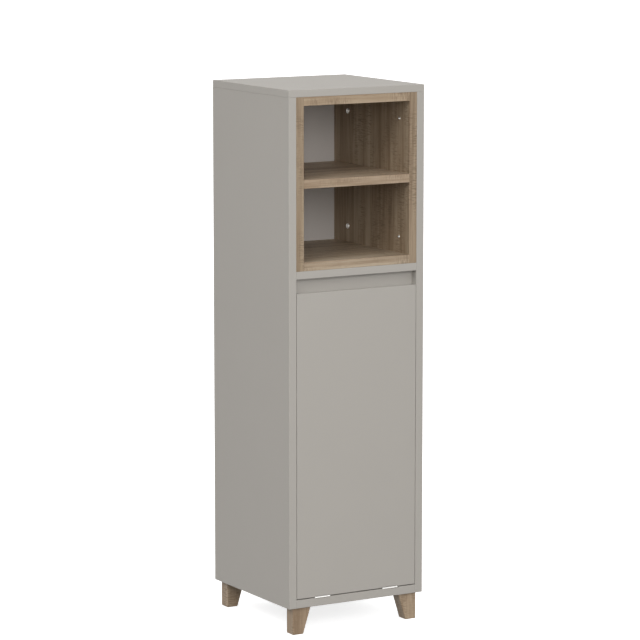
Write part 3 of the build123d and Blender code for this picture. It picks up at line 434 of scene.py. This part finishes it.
class CabinetFinishes(bpy.types.PropertyGroup):
    """Colours and gloss of the boards and fittings."""

    board_colour: bpy.props.FloatVectorProperty(
        name="Board Colour",
        description="Colour of the grey melamine boards",
        subtype="COLOR",
        min=0.0,
        max=1.0,
        default=(0.402, 0.379, 0.346),
    )
    board_roughness: bpy.props.FloatProperty(
        name="Board Roughness",
        description="How matt the grey boards are",
        subtype="FACTOR",
        min=0.0,
        max=1.0,
        default=0.55,
    )
    oak_dark: bpy.props.FloatVectorProperty(
        name="Oak Dark",
        description="Colour of the oak's dark growth lines",
        subtype="COLOR",
        min=0.0,
        max=1.0,
        default=(0.235, 0.160, 0.096),
    )
    oak_middle: bpy.props.FloatVectorProperty(
        name="Oak Middle",
        description="Main colour of the oak",
        subtype="COLOR",
        min=0.0,
        max=1.0,
        default=(0.340, 0.248, 0.162),
    )
    oak_light: bpy.props.FloatVectorProperty(
        name="Oak Light",
        description="Colour of the oak's lightest fibres",
        subtype="COLOR",
        min=0.0,
        max=1.0,
        default=(0.445, 0.343, 0.236),
    )
    back_colour: bpy.props.FloatVectorProperty(
        name="Back Colour",
        description="Colour of the back panel's lacquered face",
        subtype="COLOR",
        min=0.0,
        max=1.0,
        default=(0.43, 0.40, 0.375),
    )
    raw_colour: bpy.props.FloatVectorProperty(
        name="Raw Fibreboard",
        description="Colour of the back panel's raw rear face",
        subtype="COLOR",
        min=0.0,
        max=1.0,
        default=(0.27, 0.175, 0.10),
    )
    fitting_colour: bpy.props.FloatVectorProperty(
        name="Fitting Colour",
        description="Colour of the moulded grey fittings",
        subtype="COLOR",
        min=0.0,
        max=1.0,
        default=(0.42, 0.42, 0.41),
    )


class LaundryBagSettings(bpy.types.PropertyGroup):
    """Cut and cloth of the laundry bag."""

    cloth_colour: bpy.props.FloatVectorProperty(
        name="Cloth Colour",
        description="Colour of the cotton canvas",
        subtype="COLOR",
        min=0.0,
        max=1.0,
        default=(0.72, 0.68, 0.60),
    )
    thread_colour: bpy.props.FloatVectorProperty(
        name="Thread Colour",
        description="Colour of the sewing thread",
        subtype="COLOR",
        min=0.0,
        max=1.0,
        default=(0.78, 0.76, 0.70),
    )
    cloth_thickness: bpy.props.FloatProperty(
        name="Cloth Thickness", description="Thickness of the canvas", unit="LENGTH", default=0.9 * MM
    )
    rib_pitch: bpy.props.FloatProperty(
        name="Rib Pitch",
        description="Distance between two ribs of the weave",
        unit="LENGTH",
        default=5.654867 * MM,
    )
    wire_radius: bpy.props.FloatProperty(
        name="Wire Radius", description="Radius of the wires in the hem", unit="LENGTH", default=3.0 * MM
    )
    tunnel_half: bpy.props.FloatProperty(
        name="Tunnel Half",
        description="Half width of the packed hem tunnels",
        unit="LENGTH",
        default=4.5 * MM,
    )
    hem_drop: bpy.props.FloatProperty(
        name="Hem Drop",
        description="From the wire's middle down to the hem's seam",
        unit="LENGTH",
        default=16.0 * MM,
    )
    hem_edge: bpy.props.FloatProperty(
        name="Hem Edge", description="Cloth below the hem's seam", unit="LENGTH", default=3.0 * MM
    )
    front_gap: bpy.props.FloatProperty(
        name="Front Corner Gap",
        description="From a front corner of the frame to the hem",
        unit="LENGTH",
        default=15.0 * MM,
    )
    rear_gap: bpy.props.FloatProperty(
        name="Rear Corner Gap",
        description="From a rear corner of the frame to the hem",
        unit="LENGTH",
        default=30.0 * MM,
    )
    corner_radius: bpy.props.FloatProperty(
        name="Corner Radius",
        description="Radius of the bag's upright corners",
        unit="LENGTH",
        default=22.0 * MM,
    )
    taper: bpy.props.FloatProperty(
        name="Taper",
        description="How far each wall is drawn in at the bottom",
        unit="LENGTH",
        default=12.0 * MM,
    )
    slack: bpy.props.FloatProperty(
        name="Slack",
        description="Share by which the cloth is larger than the frame",
        subtype="FACTOR",
        min=0.0,
        max=0.1,
        default=0.045,
    )
    fold_depth: bpy.props.FloatProperty(
        name="Fold Depth",
        description="How deep the soft folds of the walls are",
        unit="LENGTH",
        default=5.0 * MM,
    )
    fold_fade: bpy.props.FloatProperty(
        name="Fold Fade",
        description="Below the hem, how far down the folds reach their full depth",
        unit="LENGTH",
        default=60.0 * MM,
    )
    seam_radius: bpy.props.FloatProperty(
        name="Seam Radius",
        description="Radius of the sewn ridges at the corners and the bottom",
        unit="LENGTH",
        default=1.1 * MM,
    )
    stitch_pitch: bpy.props.FloatProperty(
        name="Stitch Pitch", description="Distance between two stitches", unit="LENGTH", default=4.2 * MM
    )


class StudioSettings(bpy.types.PropertyGroup):
    """Camera, floor and lights."""

    camera_place: bpy.props.FloatVectorProperty(
        name="Camera Place",
        description="Where the camera stands",
        subtype="TRANSLATION",
        unit="LENGTH",
        default=(-3.701, -6.372, 1.792),
    )
    camera_turn: bpy.props.FloatProperty(
        name="Camera Turn",
        description="How far the camera looks to the right of straight ahead",
        subtype="ANGLE",
        default=math.radians(30.19),
    )
    camera_dip: bpy.props.FloatProperty(
        name="Camera Dip",
        description="How far the camera looks down",
        subtype="ANGLE",
        default=math.radians(8.56),
    )
    camera_lens: bpy.props.FloatProperty(
        name="Camera Lens",
        description="Focal length on a 36 mm sensor",
        subtype="DISTANCE_CAMERA",
        unit="CAMERA",
        default=183.4,
    )
    floor_radius: bpy.props.FloatProperty(
        name="Floor Radius", description="Radius of the pale floor", unit="LENGTH", default=40.0, min=5.0
    )
    floor_colour: bpy.props.FloatVectorProperty(
        name="Floor Colour",
        description="Colour of the floor",
        subtype="COLOR",
        min=0.0,
        max=1.0,
        default=(0.9, 0.9, 0.9),
    )
    sky_strength: bpy.props.FloatProperty(
        name="Sky Strength",
        description="Strength of the even light from above the floor",
        default=0.87,
        min=0.0,
    )
    ground_strength: bpy.props.FloatProperty(
        name="Ground Strength", description="Strength of the even light from below", default=0.0, min=0.0
    )
    floor_glow: bpy.props.FloatProperty(
        name="Floor Glow",
        description="Light that keeps the floor white far from the lamps",
        default=0.7,
        min=0.0,
    )
    front_power: bpy.props.FloatProperty(
        name="Front Power",
        description="Power of the soft box straight ahead",
        unit="POWER",
        default=52.0,
        min=0.0,
    )
    key_power: bpy.props.FloatProperty(
        name="Key Power",
        description="Power of the soft box to the left of the front",
        unit="POWER",
        default=63.0,
        min=0.0,
    )
    side_power: bpy.props.FloatProperty(
        name="Side Power",
        description="Power of the high soft box on the left",
        unit="POWER",
        default=55.0,
        min=0.0,
    )
    lamp_distance: bpy.props.FloatProperty(
        name="Lamp Distance",
        description="From the cabinet's middle to each soft box",
        unit="LENGTH",
        default=5.0,
        min=2.0,
    )
    lamp_size: bpy.props.FloatProperty(
        name="Lamp Size", description="Width and height of each soft box", unit="LENGTH", default=2.0, min=0.1
    )


class CABINET_OT_boards(bpy.types.Operator):
    """Finish the grey boards and the back panel"""

    bl_idname = "cabinet.boards"
    bl_label = "Grey Boards"

    def execute(self, context):
        settings = context.scene.cabinet_finishes
        dress(GREY_BOARDS, melamine("grey_melamine", settings.board_colour, settings.board_roughness))
        low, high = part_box("back_panel")
        face_limit = (low.y + high.y) / 2
        lacquer, raw = settings.back_colour, settings.raw_colour
        dress(["back_panel"], hardboard("back_hardboard", lacquer, raw, face_limit))
        return {"FINISHED"}


class CABINET_OT_oak(bpy.types.Operator):
    """Finish the oak niche boards and the legs, each cut from its own stretch of grain and given its own
    painted light and shade
    """

    bl_idname = "cabinet.oak"
    bl_label = "Oak Boards and Legs"

    def execute(self, context):
        settings = context.scene.cabinet_finishes
        boards = [(name, UPRIGHT) for name in OAK_UPRIGHTS + LEGS] + [(name, ACROSS) for name in OAK_LEVELS]
        for index, (name, grain) in enumerate(boards, start=1):
            shift = [step * index for step in GRAIN_STEP]
            # Each board or leg gets its share of painted light and shade on its oak colours
            dress([name], oak(f"oak_{name}", grain, shift, settings, OAK_PAINTED_LIGHT.get(name, LEG_PAINTED_SHADE)))
        return {"FINISHED"}


class CABINET_OT_fittings(bpy.types.Operator):
    """Finish the hinges, stays, catches, brackets, wire frame and fasteners"""

    bl_idname = "cabinet.fittings"
    bl_label = "Fittings"

    def execute(self, context):
        settings = context.scene.cabinet_finishes
        dress(HINGES, plated("bright_nickel", BRIGHT_NICKEL, roughness=0.32))
        dress(STAYS, plated("zinc_stay", STAY_ZINC, roughness=0.38, scratch=0.3))
        dress(ZINC_PLATED, plated("zinc_plate", SCREW_ZINC, roughness=0.3))
        dress(NICHE_FIXINGS, plated("bright_fixing", BRIGHT_STEEL, roughness=0.3))
        dress(["cam_locks"], plated("die_cast", DIE_CAST_ZINC, roughness=0.5, scratch=0.4))
        dress(GREY_MOULDINGS, moulded("grey_moulding", settings.fitting_colour, roughness=0.45, grain=0.5))
        dress(["stay_stops"], moulded("black_rubber", BLACK_RUBBER, roughness=0.7, grain=0.8))
        dress(["catch_magnets"], moulded("ferrite", DARK_FERRITE, roughness=0.6, grain=1.0))
        dress(["bag_frame"], coated_wire("white_wire", WHITE_COATING))
        dress(["dowels"], plain_wood("beech", PALE_BEECH, ACROSS))
        return {"FINISHED"}


class BagFrame:
    """Lines of the four wires that carry the bag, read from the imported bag."""

    def __init__(self, settings):
        low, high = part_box("laundry_bag")
        inset = Vector((settings.tunnel_half,) * 3)
        self.low, self.high = low + inset, high - inset
        self.middle = (self.low + self.high) / 2
        self.half = Vector(((self.high.x - self.low.x) / 2, (self.high.y - self.low.y) / 2, 0.0))
        self.wire_z = self.high.z
        self.floor_z = low.z

    def runs(self, settings):
        """Start, end and outward direction of each straight hem."""
        left, right = self.low.x, self.high.x
        front, rear = self.low.y, self.high.y
        side_ends = (front + settings.front_gap, rear - settings.rear_gap)
        front_ends = (left + settings.front_gap, right - settings.front_gap)
        rear_ends = (left + settings.rear_gap, right - settings.rear_gap)
        z = self.wire_z
        return (
            (Vector((left, side_ends[0], z)), Vector((left, side_ends[1], z)), Vector((-1, 0, 0))),
            (Vector((right, side_ends[0], z)), Vector((right, side_ends[1], z)), Vector((1, 0, 0))),
            (Vector((front_ends[0], front, z)), Vector((front_ends[1], front, z)), Vector((0, -1, 0))),
            (Vector((rear_ends[0], rear, z)), Vector((rear_ends[1], rear, z)), Vector((0, 1, 0))),
        )


def ripple(place, scale, shift=(0, 0, 0)):
    """Smooth noise at a place, with its own scale and shift along each axis."""
    return noise.noise(Vector([part * tight + move for part, tight, move in zip(place, scale, shift)]))


def bag_body(settings, wires):
    """Open bag of canvas: a bottom sheet whose edge is drawn up row by row to the hem."""
    half_x, half_y = wires.half.x - settings.taper, wires.half.y - settings.taper
    rim_z = wires.wire_z - settings.hem_drop + RIM_RISE
    rows = round((rim_z - wires.floor_z) / CELL)
    rise = (rim_z - wires.floor_z) * (1 - settings.slack) / rows
    floor_z = rim_z - rise * rows
    shape = bmesh.new()
    cells_x, cells_y = round(2 * half_x / CELL), round(2 * half_y / CELL)
    bmesh.ops.create_grid(shape, x_segments=cells_x, y_segments=cells_y, size=1.0)
    bmesh.ops.scale(shape, vec=(half_x, half_y, 1.0), verts=shape.verts)
    bmesh.ops.translate(shape, vec=(0.0, wires.middle.y, floor_z), verts=shape.verts)
    loop = [edge for edge in shape.edges if edge.is_boundary]
    middle = Matrix.Translation((0.0, -wires.middle.y, 0.0))
    for row in range(rows):
        grown = bmesh.ops.extrude_edge_only(shape, edges=loop)["geom"]
        ring = [item for item in grown if isinstance(item, bmesh.types.BMVert)]
        loop = [item for item in grown if isinstance(item, bmesh.types.BMEdge) and item.is_boundary]
        old = settings.taper * (1 - row / rows)
        new = settings.taper * (1 - (row + 1) / rows)
        widen_x = (wires.half.x - new) / (wires.half.x - old)
        widen_y = (wires.half.y - new) / (wires.half.y - old)
        bmesh.ops.scale(shape, vec=(widen_x, widen_y, 1.0), space=middle, verts=ring)
        bmesh.ops.translate(shape, vec=(0.0, 0.0, rise), verts=ring)
    seam = shape.verts.layers.int.new("seam")
    for vert in shape.verts:
        share = (vert.co.z - floor_z) / (rise * rows)
        draw = settings.taper * (1 - share)
        edge_x = abs(vert.co.x) > wires.half.x - draw - NEAR_WALL
        edge_y = abs(vert.co.y - wires.middle.y) > wires.half.y - draw - NEAR_WALL
        on_floor = share < FLOOR_SHARE and (edge_x or edge_y)
        vert[seam] = CORNER_SEAM * (edge_x and edge_y) + FLOOR_SEAM * on_floor
        round_corner(vert, wires, draw, settings.corner_radius)
    bmesh.ops.recalc_face_normals(shape, faces=shape.faces)
    map_cloth(shape)
    for vert in shape.verts:
        share = (vert.co.z - floor_z) / (rise * rows)
        flow = ripple(vert.co, FLOW_SCALE)
        vert.co += vert.normal * flow * FLOW_DEPTH * math.sin(math.pi * min(1.0, share))
    return shape


def round_corner(vert, wires, draw, radius):
    """Moves a vertex of a square corner onto the bag's round corner."""
    reach_x = abs(vert.co.x) - (wires.half.x - draw - radius)
    reach_y = abs(vert.co.y - wires.middle.y) - (wires.half.y - draw - radius)
    if reach_x > 0 and reach_y > 0:
        factor = max(reach_x, reach_y) / math.hypot(reach_x, reach_y)
        vert.co.x = math.copysign(abs(vert.co.x) - reach_x * (1 - factor), vert.co.x)
        offset = vert.co.y - wires.middle.y
        vert.co.y = wires.middle.y + math.copysign(abs(offset) - reach_y * (1 - factor), offset)


def map_cloth(shape):
    """Lays the cloth's own map on each face, in metres, along its warp and weft."""
    shape.normal_update()
    layer = shape.loops.layers.uv.new("cloth")
    for face in shape.faces:
        steep = max(range(3), key=lambda axis: abs(face.normal[axis]))
        first, second = {0: (1, 2), 1: (0, 2), 2: (0, 1)}[steep]
        for loop in face.loops:
            loop[layer].uv = (loop.vert.co[first], loop.vert.co[second])


def hold_rim(piece, settings, wires):
    """Pins the top rows along each straight hem."""
    group = piece.vertex_groups.new(name="hem")
    limit = wires.wire_z - settings.hem_drop - HELD_DROP
    held = []
    for vert in piece.data.vertices:
        x, y, z = vert.co
        between = wires.low.y + settings.front_gap < y < wires.high.y - settings.rear_gap
        on_side = between and abs(x) > wires.half.x - HELD_DEPTH
        on_front = y < wires.low.y + HELD_DEPTH and abs(x) < wires.half.x - settings.front_gap
        on_rear = y > wires.high.y - HELD_DEPTH and abs(x) < wires.half.x - settings.rear_gap
        if z >= limit and (on_side or on_front or on_rear):
            held.append(vert.index)
    group.add(held, 1.0, "REPLACE")
    return group.name


def hang(piece, pins, slack):
    """Lets the bag hang from its pinned rim; each point stays within reach of its start."""
    scene = bpy.context.scene
    starts = [vert.co.copy() for vert in piece.data.vertices]
    cloth = piece.modifiers.new("hang", "CLOTH")
    for key, value in CANVAS.items():
        setattr(cloth.settings, key, value)
    cloth.settings.shrink_min = -slack
    cloth.settings.vertex_group_mass = pins
    cloth.collision_settings.use_collision = False
    cloth.point_cache.frame_start = 1
    cloth.point_cache.frame_end = HANG_FRAMES
    for step in range(1, HANG_FRAMES + 1):
        scene.frame_set(step)
    hung = piece.evaluated_get(bpy.context.evaluated_depsgraph_get())
    ends = [vert.co.copy() for vert in hung.data.vertices]
    piece.modifiers.remove(cloth)
    scene.frame_set(1)
    for vert, start, end in zip(piece.data.vertices, starts, ends):
        move = end - start
        if move.length > HANG_REACH:
            move *= HANG_REACH / move.length
        vert.co = start + move


def crumple(piece, settings, wires):
    """Adds soft upright folds and small creases that fade out towards the hem."""
    normals = [vert.normal.copy() for vert in piece.data.vertices]
    seam_z = wires.wire_z - settings.hem_drop
    for vert, normal in zip(piece.data.vertices, normals):
        place = vert.co.copy()
        fade = min(1.0, max(0.0, (seam_z - place.z) / settings.fold_fade))
        fold = ripple(place, FOLD_SCALE)
        crease = CREASE_LEVEL - abs(ripple(place, CREASE_SCALE, CREASE_SHIFT))
        vert.co = place + normal * fade * settings.fold_depth * (fold + CREASE_SHARE * crease)


def bag_seams(piece, settings, wires):
    """Sewn ridges up the bag's four corners and round its bottom, along the hung cloth."""
    marks = [mark.value for mark in piece.data.attributes["seam"].data]
    lines = {}
    for vert, mark in zip(piece.data.vertices, marks):
        place = vert.co + vert.normal * settings.cloth_thickness
        if mark & CORNER_SEAM:
            lines.setdefault((vert.co.x > 0, vert.co.y > wires.middle.y), []).append(place)
        if mark & FLOOR_SEAM:
            lines.setdefault("floor", []).append(place)
    ridges = bpy.data.curves.new("laundry_bag_seams", "CURVE")
    ridges.dimensions = "3D"
    ridges.bevel_depth = settings.seam_radius
    ridges.bevel_resolution = 2
    ridges.use_fill_caps = True
    for name, places in lines.items():
        closed = name == "floor"
        if closed:
            places.sort(key=lambda place: math.atan2(place.y - wires.middle.y, place.x))
        else:
            places.sort(key=lambda place: place.z)
        line = ridges.splines.new("NURBS")
        line.points.add(len(places) - 1)
        for point, place in zip(line.points, places):
            point.co = (*place, 1.0)
        line.order_u = 4
        line.use_cyclic_u = closed
        line.use_endpoint_u = not closed
    return add_object("laundry_bag_seams", ridges)


def grow_rows(shape, edges, moves, along, least):
    """Extrudes a line of edges by each move in turn; the new line's edges run along it by least or more."""
    for move in moves:
        grown = bmesh.ops.extrude_edge_only(shape, edges=edges)["geom"]
        verts = [item for item in grown if isinstance(item, bmesh.types.BMVert)]
        edges = [item for item in grown if isinstance(item, bmesh.types.BMEdge)]
        edges = [edge for edge in edges if abs((edge.verts[0].co - edge.verts[1].co).dot(along)) > least]
        bmesh.ops.translate(shape, vec=move, verts=verts)
    return edges


def hem_strip(settings, run):
    """Canvas folded over one wire, from its edge outside to its edge inside."""
    start, end, outward = run
    along = (end - start).normalized()
    count = round((end - start).length / HEM_STEP)
    step = (end - start) / count
    least = step.length / 2
    flat = settings.cloth_thickness
    wrap = settings.wire_radius + settings.cloth_thickness
    shape = bmesh.new()
    corner = start + outward * flat - Vector((0, 0, settings.hem_drop + settings.hem_edge))
    line = bmesh.ops.create_vert(shape, co=corner)["vert"]
    edges = []
    for _ in range(count):
        grown = bmesh.ops.extrude_vert_indiv(shape, verts=line)
        line, edges = grown["verts"], edges + grown["edges"]
        bmesh.ops.translate(shape, vec=step, verts=line)

    edge_rise = Vector((0, 0, settings.hem_edge))
    rise = Vector((0, 0, settings.hem_drop / len(HEM_SWELL)))
    swell = outward * ((wrap - flat) / len(HEM_SWELL))
    climb = [edge_rise] + [rise + swell * share for share in HEM_SWELL]
    descend = [-rise + swell * share for share in reversed(HEM_SWELL)] + [-edge_rise]
    edges = grow_rows(shape, edges, climb, along, least)
    axis = along * along.cross(outward).z
    turned = bmesh.ops.spin(
        shape, geom=edges, cent=start, axis=axis, angle=math.pi, steps=HEM_TURN_ROWS
    )
    edges = [item for item in turned["geom_last"] if isinstance(item, bmesh.types.BMEdge)]
    grow_rows(shape, edges, descend, along, least)
    bmesh.ops.remove_doubles(shape, verts=shape.verts, dist=HEM_WELD)
    for vert in shape.verts:
        depth = start.z - vert.co.z
        pucker = noise.noise(vert.co * PUCKER_SCALE) * min(1.0, max(0.0, depth / settings.hem_drop))
        vert.co += outward * pucker * PUCKER_DEPTH
    bmesh.ops.recalc_face_normals(shape, faces=shape.faces)
    layer = shape.loops.layers.uv.new("cloth")
    for face in shape.faces:
        for loop in face.loops:
            offset = loop.vert.co - start
            loop[layer].uv = (offset.dot(along), offset.z + HEM_LEAN * offset.dot(outward))
    return shape


def joined(shapes):
    """One bmesh of several, each freed."""
    whole = bmesh.new()
    for shape in shapes:
        mesh = bpy.data.meshes.new("part")
        shape.to_mesh(mesh)
        shape.free()
        whole.from_mesh(mesh)
        bpy.data.meshes.remove(mesh)
    return whole


def stitches(settings, runs):
    """Short threads along the hem's seam, outside and inside."""
    shape = bmesh.new()
    lift = settings.cloth_thickness * STITCH_LIFT
    for start, end, outward in runs:
        along = (end - start).normalized()
        turn = Matrix((along, Vector((0, 0, 1)), outward)).transposed().to_4x4()
        count = int((end - start).length / settings.stitch_pitch)
        for hand in (-1, 1):
            for index in range(count):
                place = start + along * (index + 0.5) * settings.stitch_pitch + outward * lift * hand
                place.z -= settings.hem_drop
                matrix = Matrix.Translation(place) @ turn @ Matrix.Diagonal((*STITCH_HALF, 1.0))
                bmesh.ops.create_uvsphere(shape, u_segments=6, v_segments=4, radius=1.0, matrix=matrix)
    bmesh.ops.recalc_face_normals(shape, faces=shape.faces)
    return shape


def finish_cloth(piece, thickness):
    """Smooths a sheet and gives it its thickness."""
    smooth = piece.modifiers.new("smooth", "SUBSURF")
    smooth.levels = smooth.render_levels = 1
    wall = piece.modifiers.new("thickness", "SOLIDIFY")
    wall.thickness = thickness
    wall.offset = 0.0
    for face in piece.data.polygons:
        face.use_smooth = True


class CABINET_OT_laundry_bag(bpy.types.Operator):
    """Sew the laundry bag: a hung canvas body, its seams, hems over the wires and their stitches"""

    bl_idname = "cabinet.laundry_bag"
    bl_label = "Laundry Bag"

    def execute(self, context):
        settings = context.scene.cabinet_bag
        wires = BagFrame(settings)
        bag = add_piece("laundry_bag_cloth", bag_body(settings, wires))
        pins = hold_rim(bag, settings, wires)
        hang(bag, pins, settings.slack)
        bag.vertex_groups.clear()
        crumple(bag, settings, wires)
        seams = bag_seams(bag, settings, wires)
        runs = wires.runs(settings)
        hem = add_piece("laundry_bag_hem", joined([hem_strip(settings, run) for run in runs]))
        thread = add_piece("laundry_bag_stitches", stitches(settings, runs))
        cotton = woven_cotton("natural_cotton", settings.cloth_colour, settings.rib_pitch)
        for piece in (bag, hem):
            piece.data.materials.append(cotton)
            finish_cloth(piece, settings.cloth_thickness)
        sewing_thread = moulded("sewing_thread", settings.thread_colour, roughness=0.8, grain=1.0)
        for piece in (thread, seams):
            piece.data.materials.append(sewing_thread)
        for piece in (bag, hem, thread, seams):
            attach(piece, "door")
        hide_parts("laundry_bag")
        return {"FINISHED"}


class CABINET_OT_studio(bpy.types.Operator):
    """Build the floor, the lights and the camera"""

    bl_idname = "cabinet.studio"
    bl_label = "Studio"

    def execute(self, context):
        settings = context.scene.cabinet_studio
        scene = context.scene
        scene.view_settings.view_transform = "Standard"
        scene.world = studio_sky(settings.sky_strength, settings.ground_strength)
        add_floor(settings)
        for name, power, turn, lift in SOFT_BOXES:
            add_soft_box(name, settings, getattr(settings, power), turn, lift)

        lens = bpy.data.cameras.new("photo_camera")
        lens.lens = settings.camera_lens
        lens.clip_end = 200.0
        scene.camera = add_object("photo_camera", lens)
        scene.camera.location = settings.camera_place
        scene.camera.rotation_euler = (math.pi / 2 - settings.camera_dip, 0.0, -settings.camera_turn)
        return {"FINISHED"}


def add_object(name, data):
    """Links a new object at the origin into the scene."""
    made = bpy.data.objects.new(name, data)
    bpy.context.scene.collection.objects.link(made)
    return made


def add_piece(name, shape):
    """Turns a bmesh into a mesh object at the origin."""
    mesh = bpy.data.meshes.new(name)
    shape.to_mesh(mesh)
    shape.free()
    return add_object(name, mesh)


def add_floor(settings):
    """A round pale floor, whose glow doesn't light the cabinet."""
    shape = bmesh.new()
    bmesh.ops.create_circle(shape, cap_ends=True, segments=96, radius=settings.floor_radius)
    floor = add_piece("floor", shape)
    floor.visible_diffuse = False
    finish = Finish("studio_floor", roughness=0.8)
    finish.shader.inputs["Emission Color"].default_value = (1.0, 1.0, 1.0, 1.0)
    finish.shader.inputs["Emission Strength"].default_value = settings.floor_glow
    mottle = finish.noise(finish.spread(), scale=3.0, detail=3.0)
    shade = finish.blend(mottle, tint(settings.floor_colour, 0.995), tint(settings.floor_colour, 1.0))
    floor.data.materials.append(finish.done(shade))


def studio_sky(sky_strength, ground_strength):
    """A white sky with one strength above the horizon and another below it."""
    world = bpy.data.worlds.new("studio_sky")
    world.use_nodes = True
    tree = world.node_tree
    direction = tree.nodes.new("ShaderNodeTexCoord")
    height = tree.nodes.new("ShaderNodeSeparateXYZ")
    strength = tree.nodes.new("ShaderNodeMapRange")
    tree.links.new(direction.outputs["Generated"], height.inputs["Vector"])
    tree.links.new(height.outputs["Z"], strength.inputs["Value"])
    strength.inputs["From Min"].default_value = -HORIZON
    strength.inputs["From Max"].default_value = HORIZON
    strength.inputs["To Min"].default_value = ground_strength
    strength.inputs["To Max"].default_value = sky_strength
    background = tree.nodes["Background"]
    background.inputs["Color"].default_value = (1.0, 1.0, 1.0, 1.0)
    tree.links.new(strength.outputs["Result"], background.inputs["Strength"])
    return world


def add_soft_box(name, settings, power, turn, lift):
    """A square soft box aimed at the cabinet's middle; turn and lift are in degrees, as in SOFT_BOXES."""
    lamp = bpy.data.lights.new(name, "AREA")
    lamp.energy = power
    lamp.shape = "SQUARE"
    lamp.size = settings.lamp_size
    middle = sum(frame_bounds, Vector()) / 2
    turned = Matrix.Rotation(math.radians(-turn), 3, "Z") @ Matrix.Rotation(math.radians(-lift), 3, "X")
    direction = turned @ Vector((0.0, -1.0, 0.0))
    light = add_object(name, lamp)
    light.location = middle + direction * settings.lamp_distance
    light.rotation_euler = direction.to_track_quat("Z", "Y").to_euler()


class CABINET_PT_sidebar(bpy.types.Panel):
    """Lists the cabinet's settings and its operators"""

    bl_label = "Bathroom Cabinet"
    bl_space_type = "VIEW_3D"
    bl_region_type = "UI"
    bl_category = "Cabinet"

    def draw(self, context):
        scene = context.scene
        for settings in (scene.cabinet_finishes, scene.cabinet_bag, scene.cabinet_studio):
            box = self.layout.box()
            for name in settings.__annotations__:
                box.prop(settings, name)
        for operator in OPERATORS:
            self.layout.operator(operator.bl_idname)


OPERATORS = (
    CABINET_OT_boards,
    CABINET_OT_oak,
    CABINET_OT_fittings,
    CABINET_OT_laundry_bag,
    CABINET_OT_studio,
)
CLASSES = (CabinetFinishes, LaundryBagSettings, StudioSettings, *OPERATORS, CABINET_PT_sidebar)


def register():
    for cls in CLASSES:
        bpy.utils.register_class(cls)
    bpy.types.Scene.cabinet_finishes = bpy.props.PointerProperty(type=CabinetFinishes)
    bpy.types.Scene.cabinet_bag = bpy.props.PointerProperty(type=LaundryBagSettings)
    bpy.types.Scene.cabinet_studio = bpy.props.PointerProperty(type=StudioSettings)


def unregister():
    del bpy.types.Scene.cabinet_finishes
    del bpy.types.Scene.cabinet_bag
    del bpy.types.Scene.cabinet_studio
    for cls in reversed(CLASSES):
        bpy.utils.unregister_class(cls)


def main():
    """Builds everything."""
    register()
    bpy.ops.cabinet.boards()
    bpy.ops.cabinet.oak()
    bpy.ops.cabinet.fittings()
    bpy.ops.cabinet.laundry_bag()
    bpy.ops.cabinet.studio()


if __name__ == "__main__":
    main()
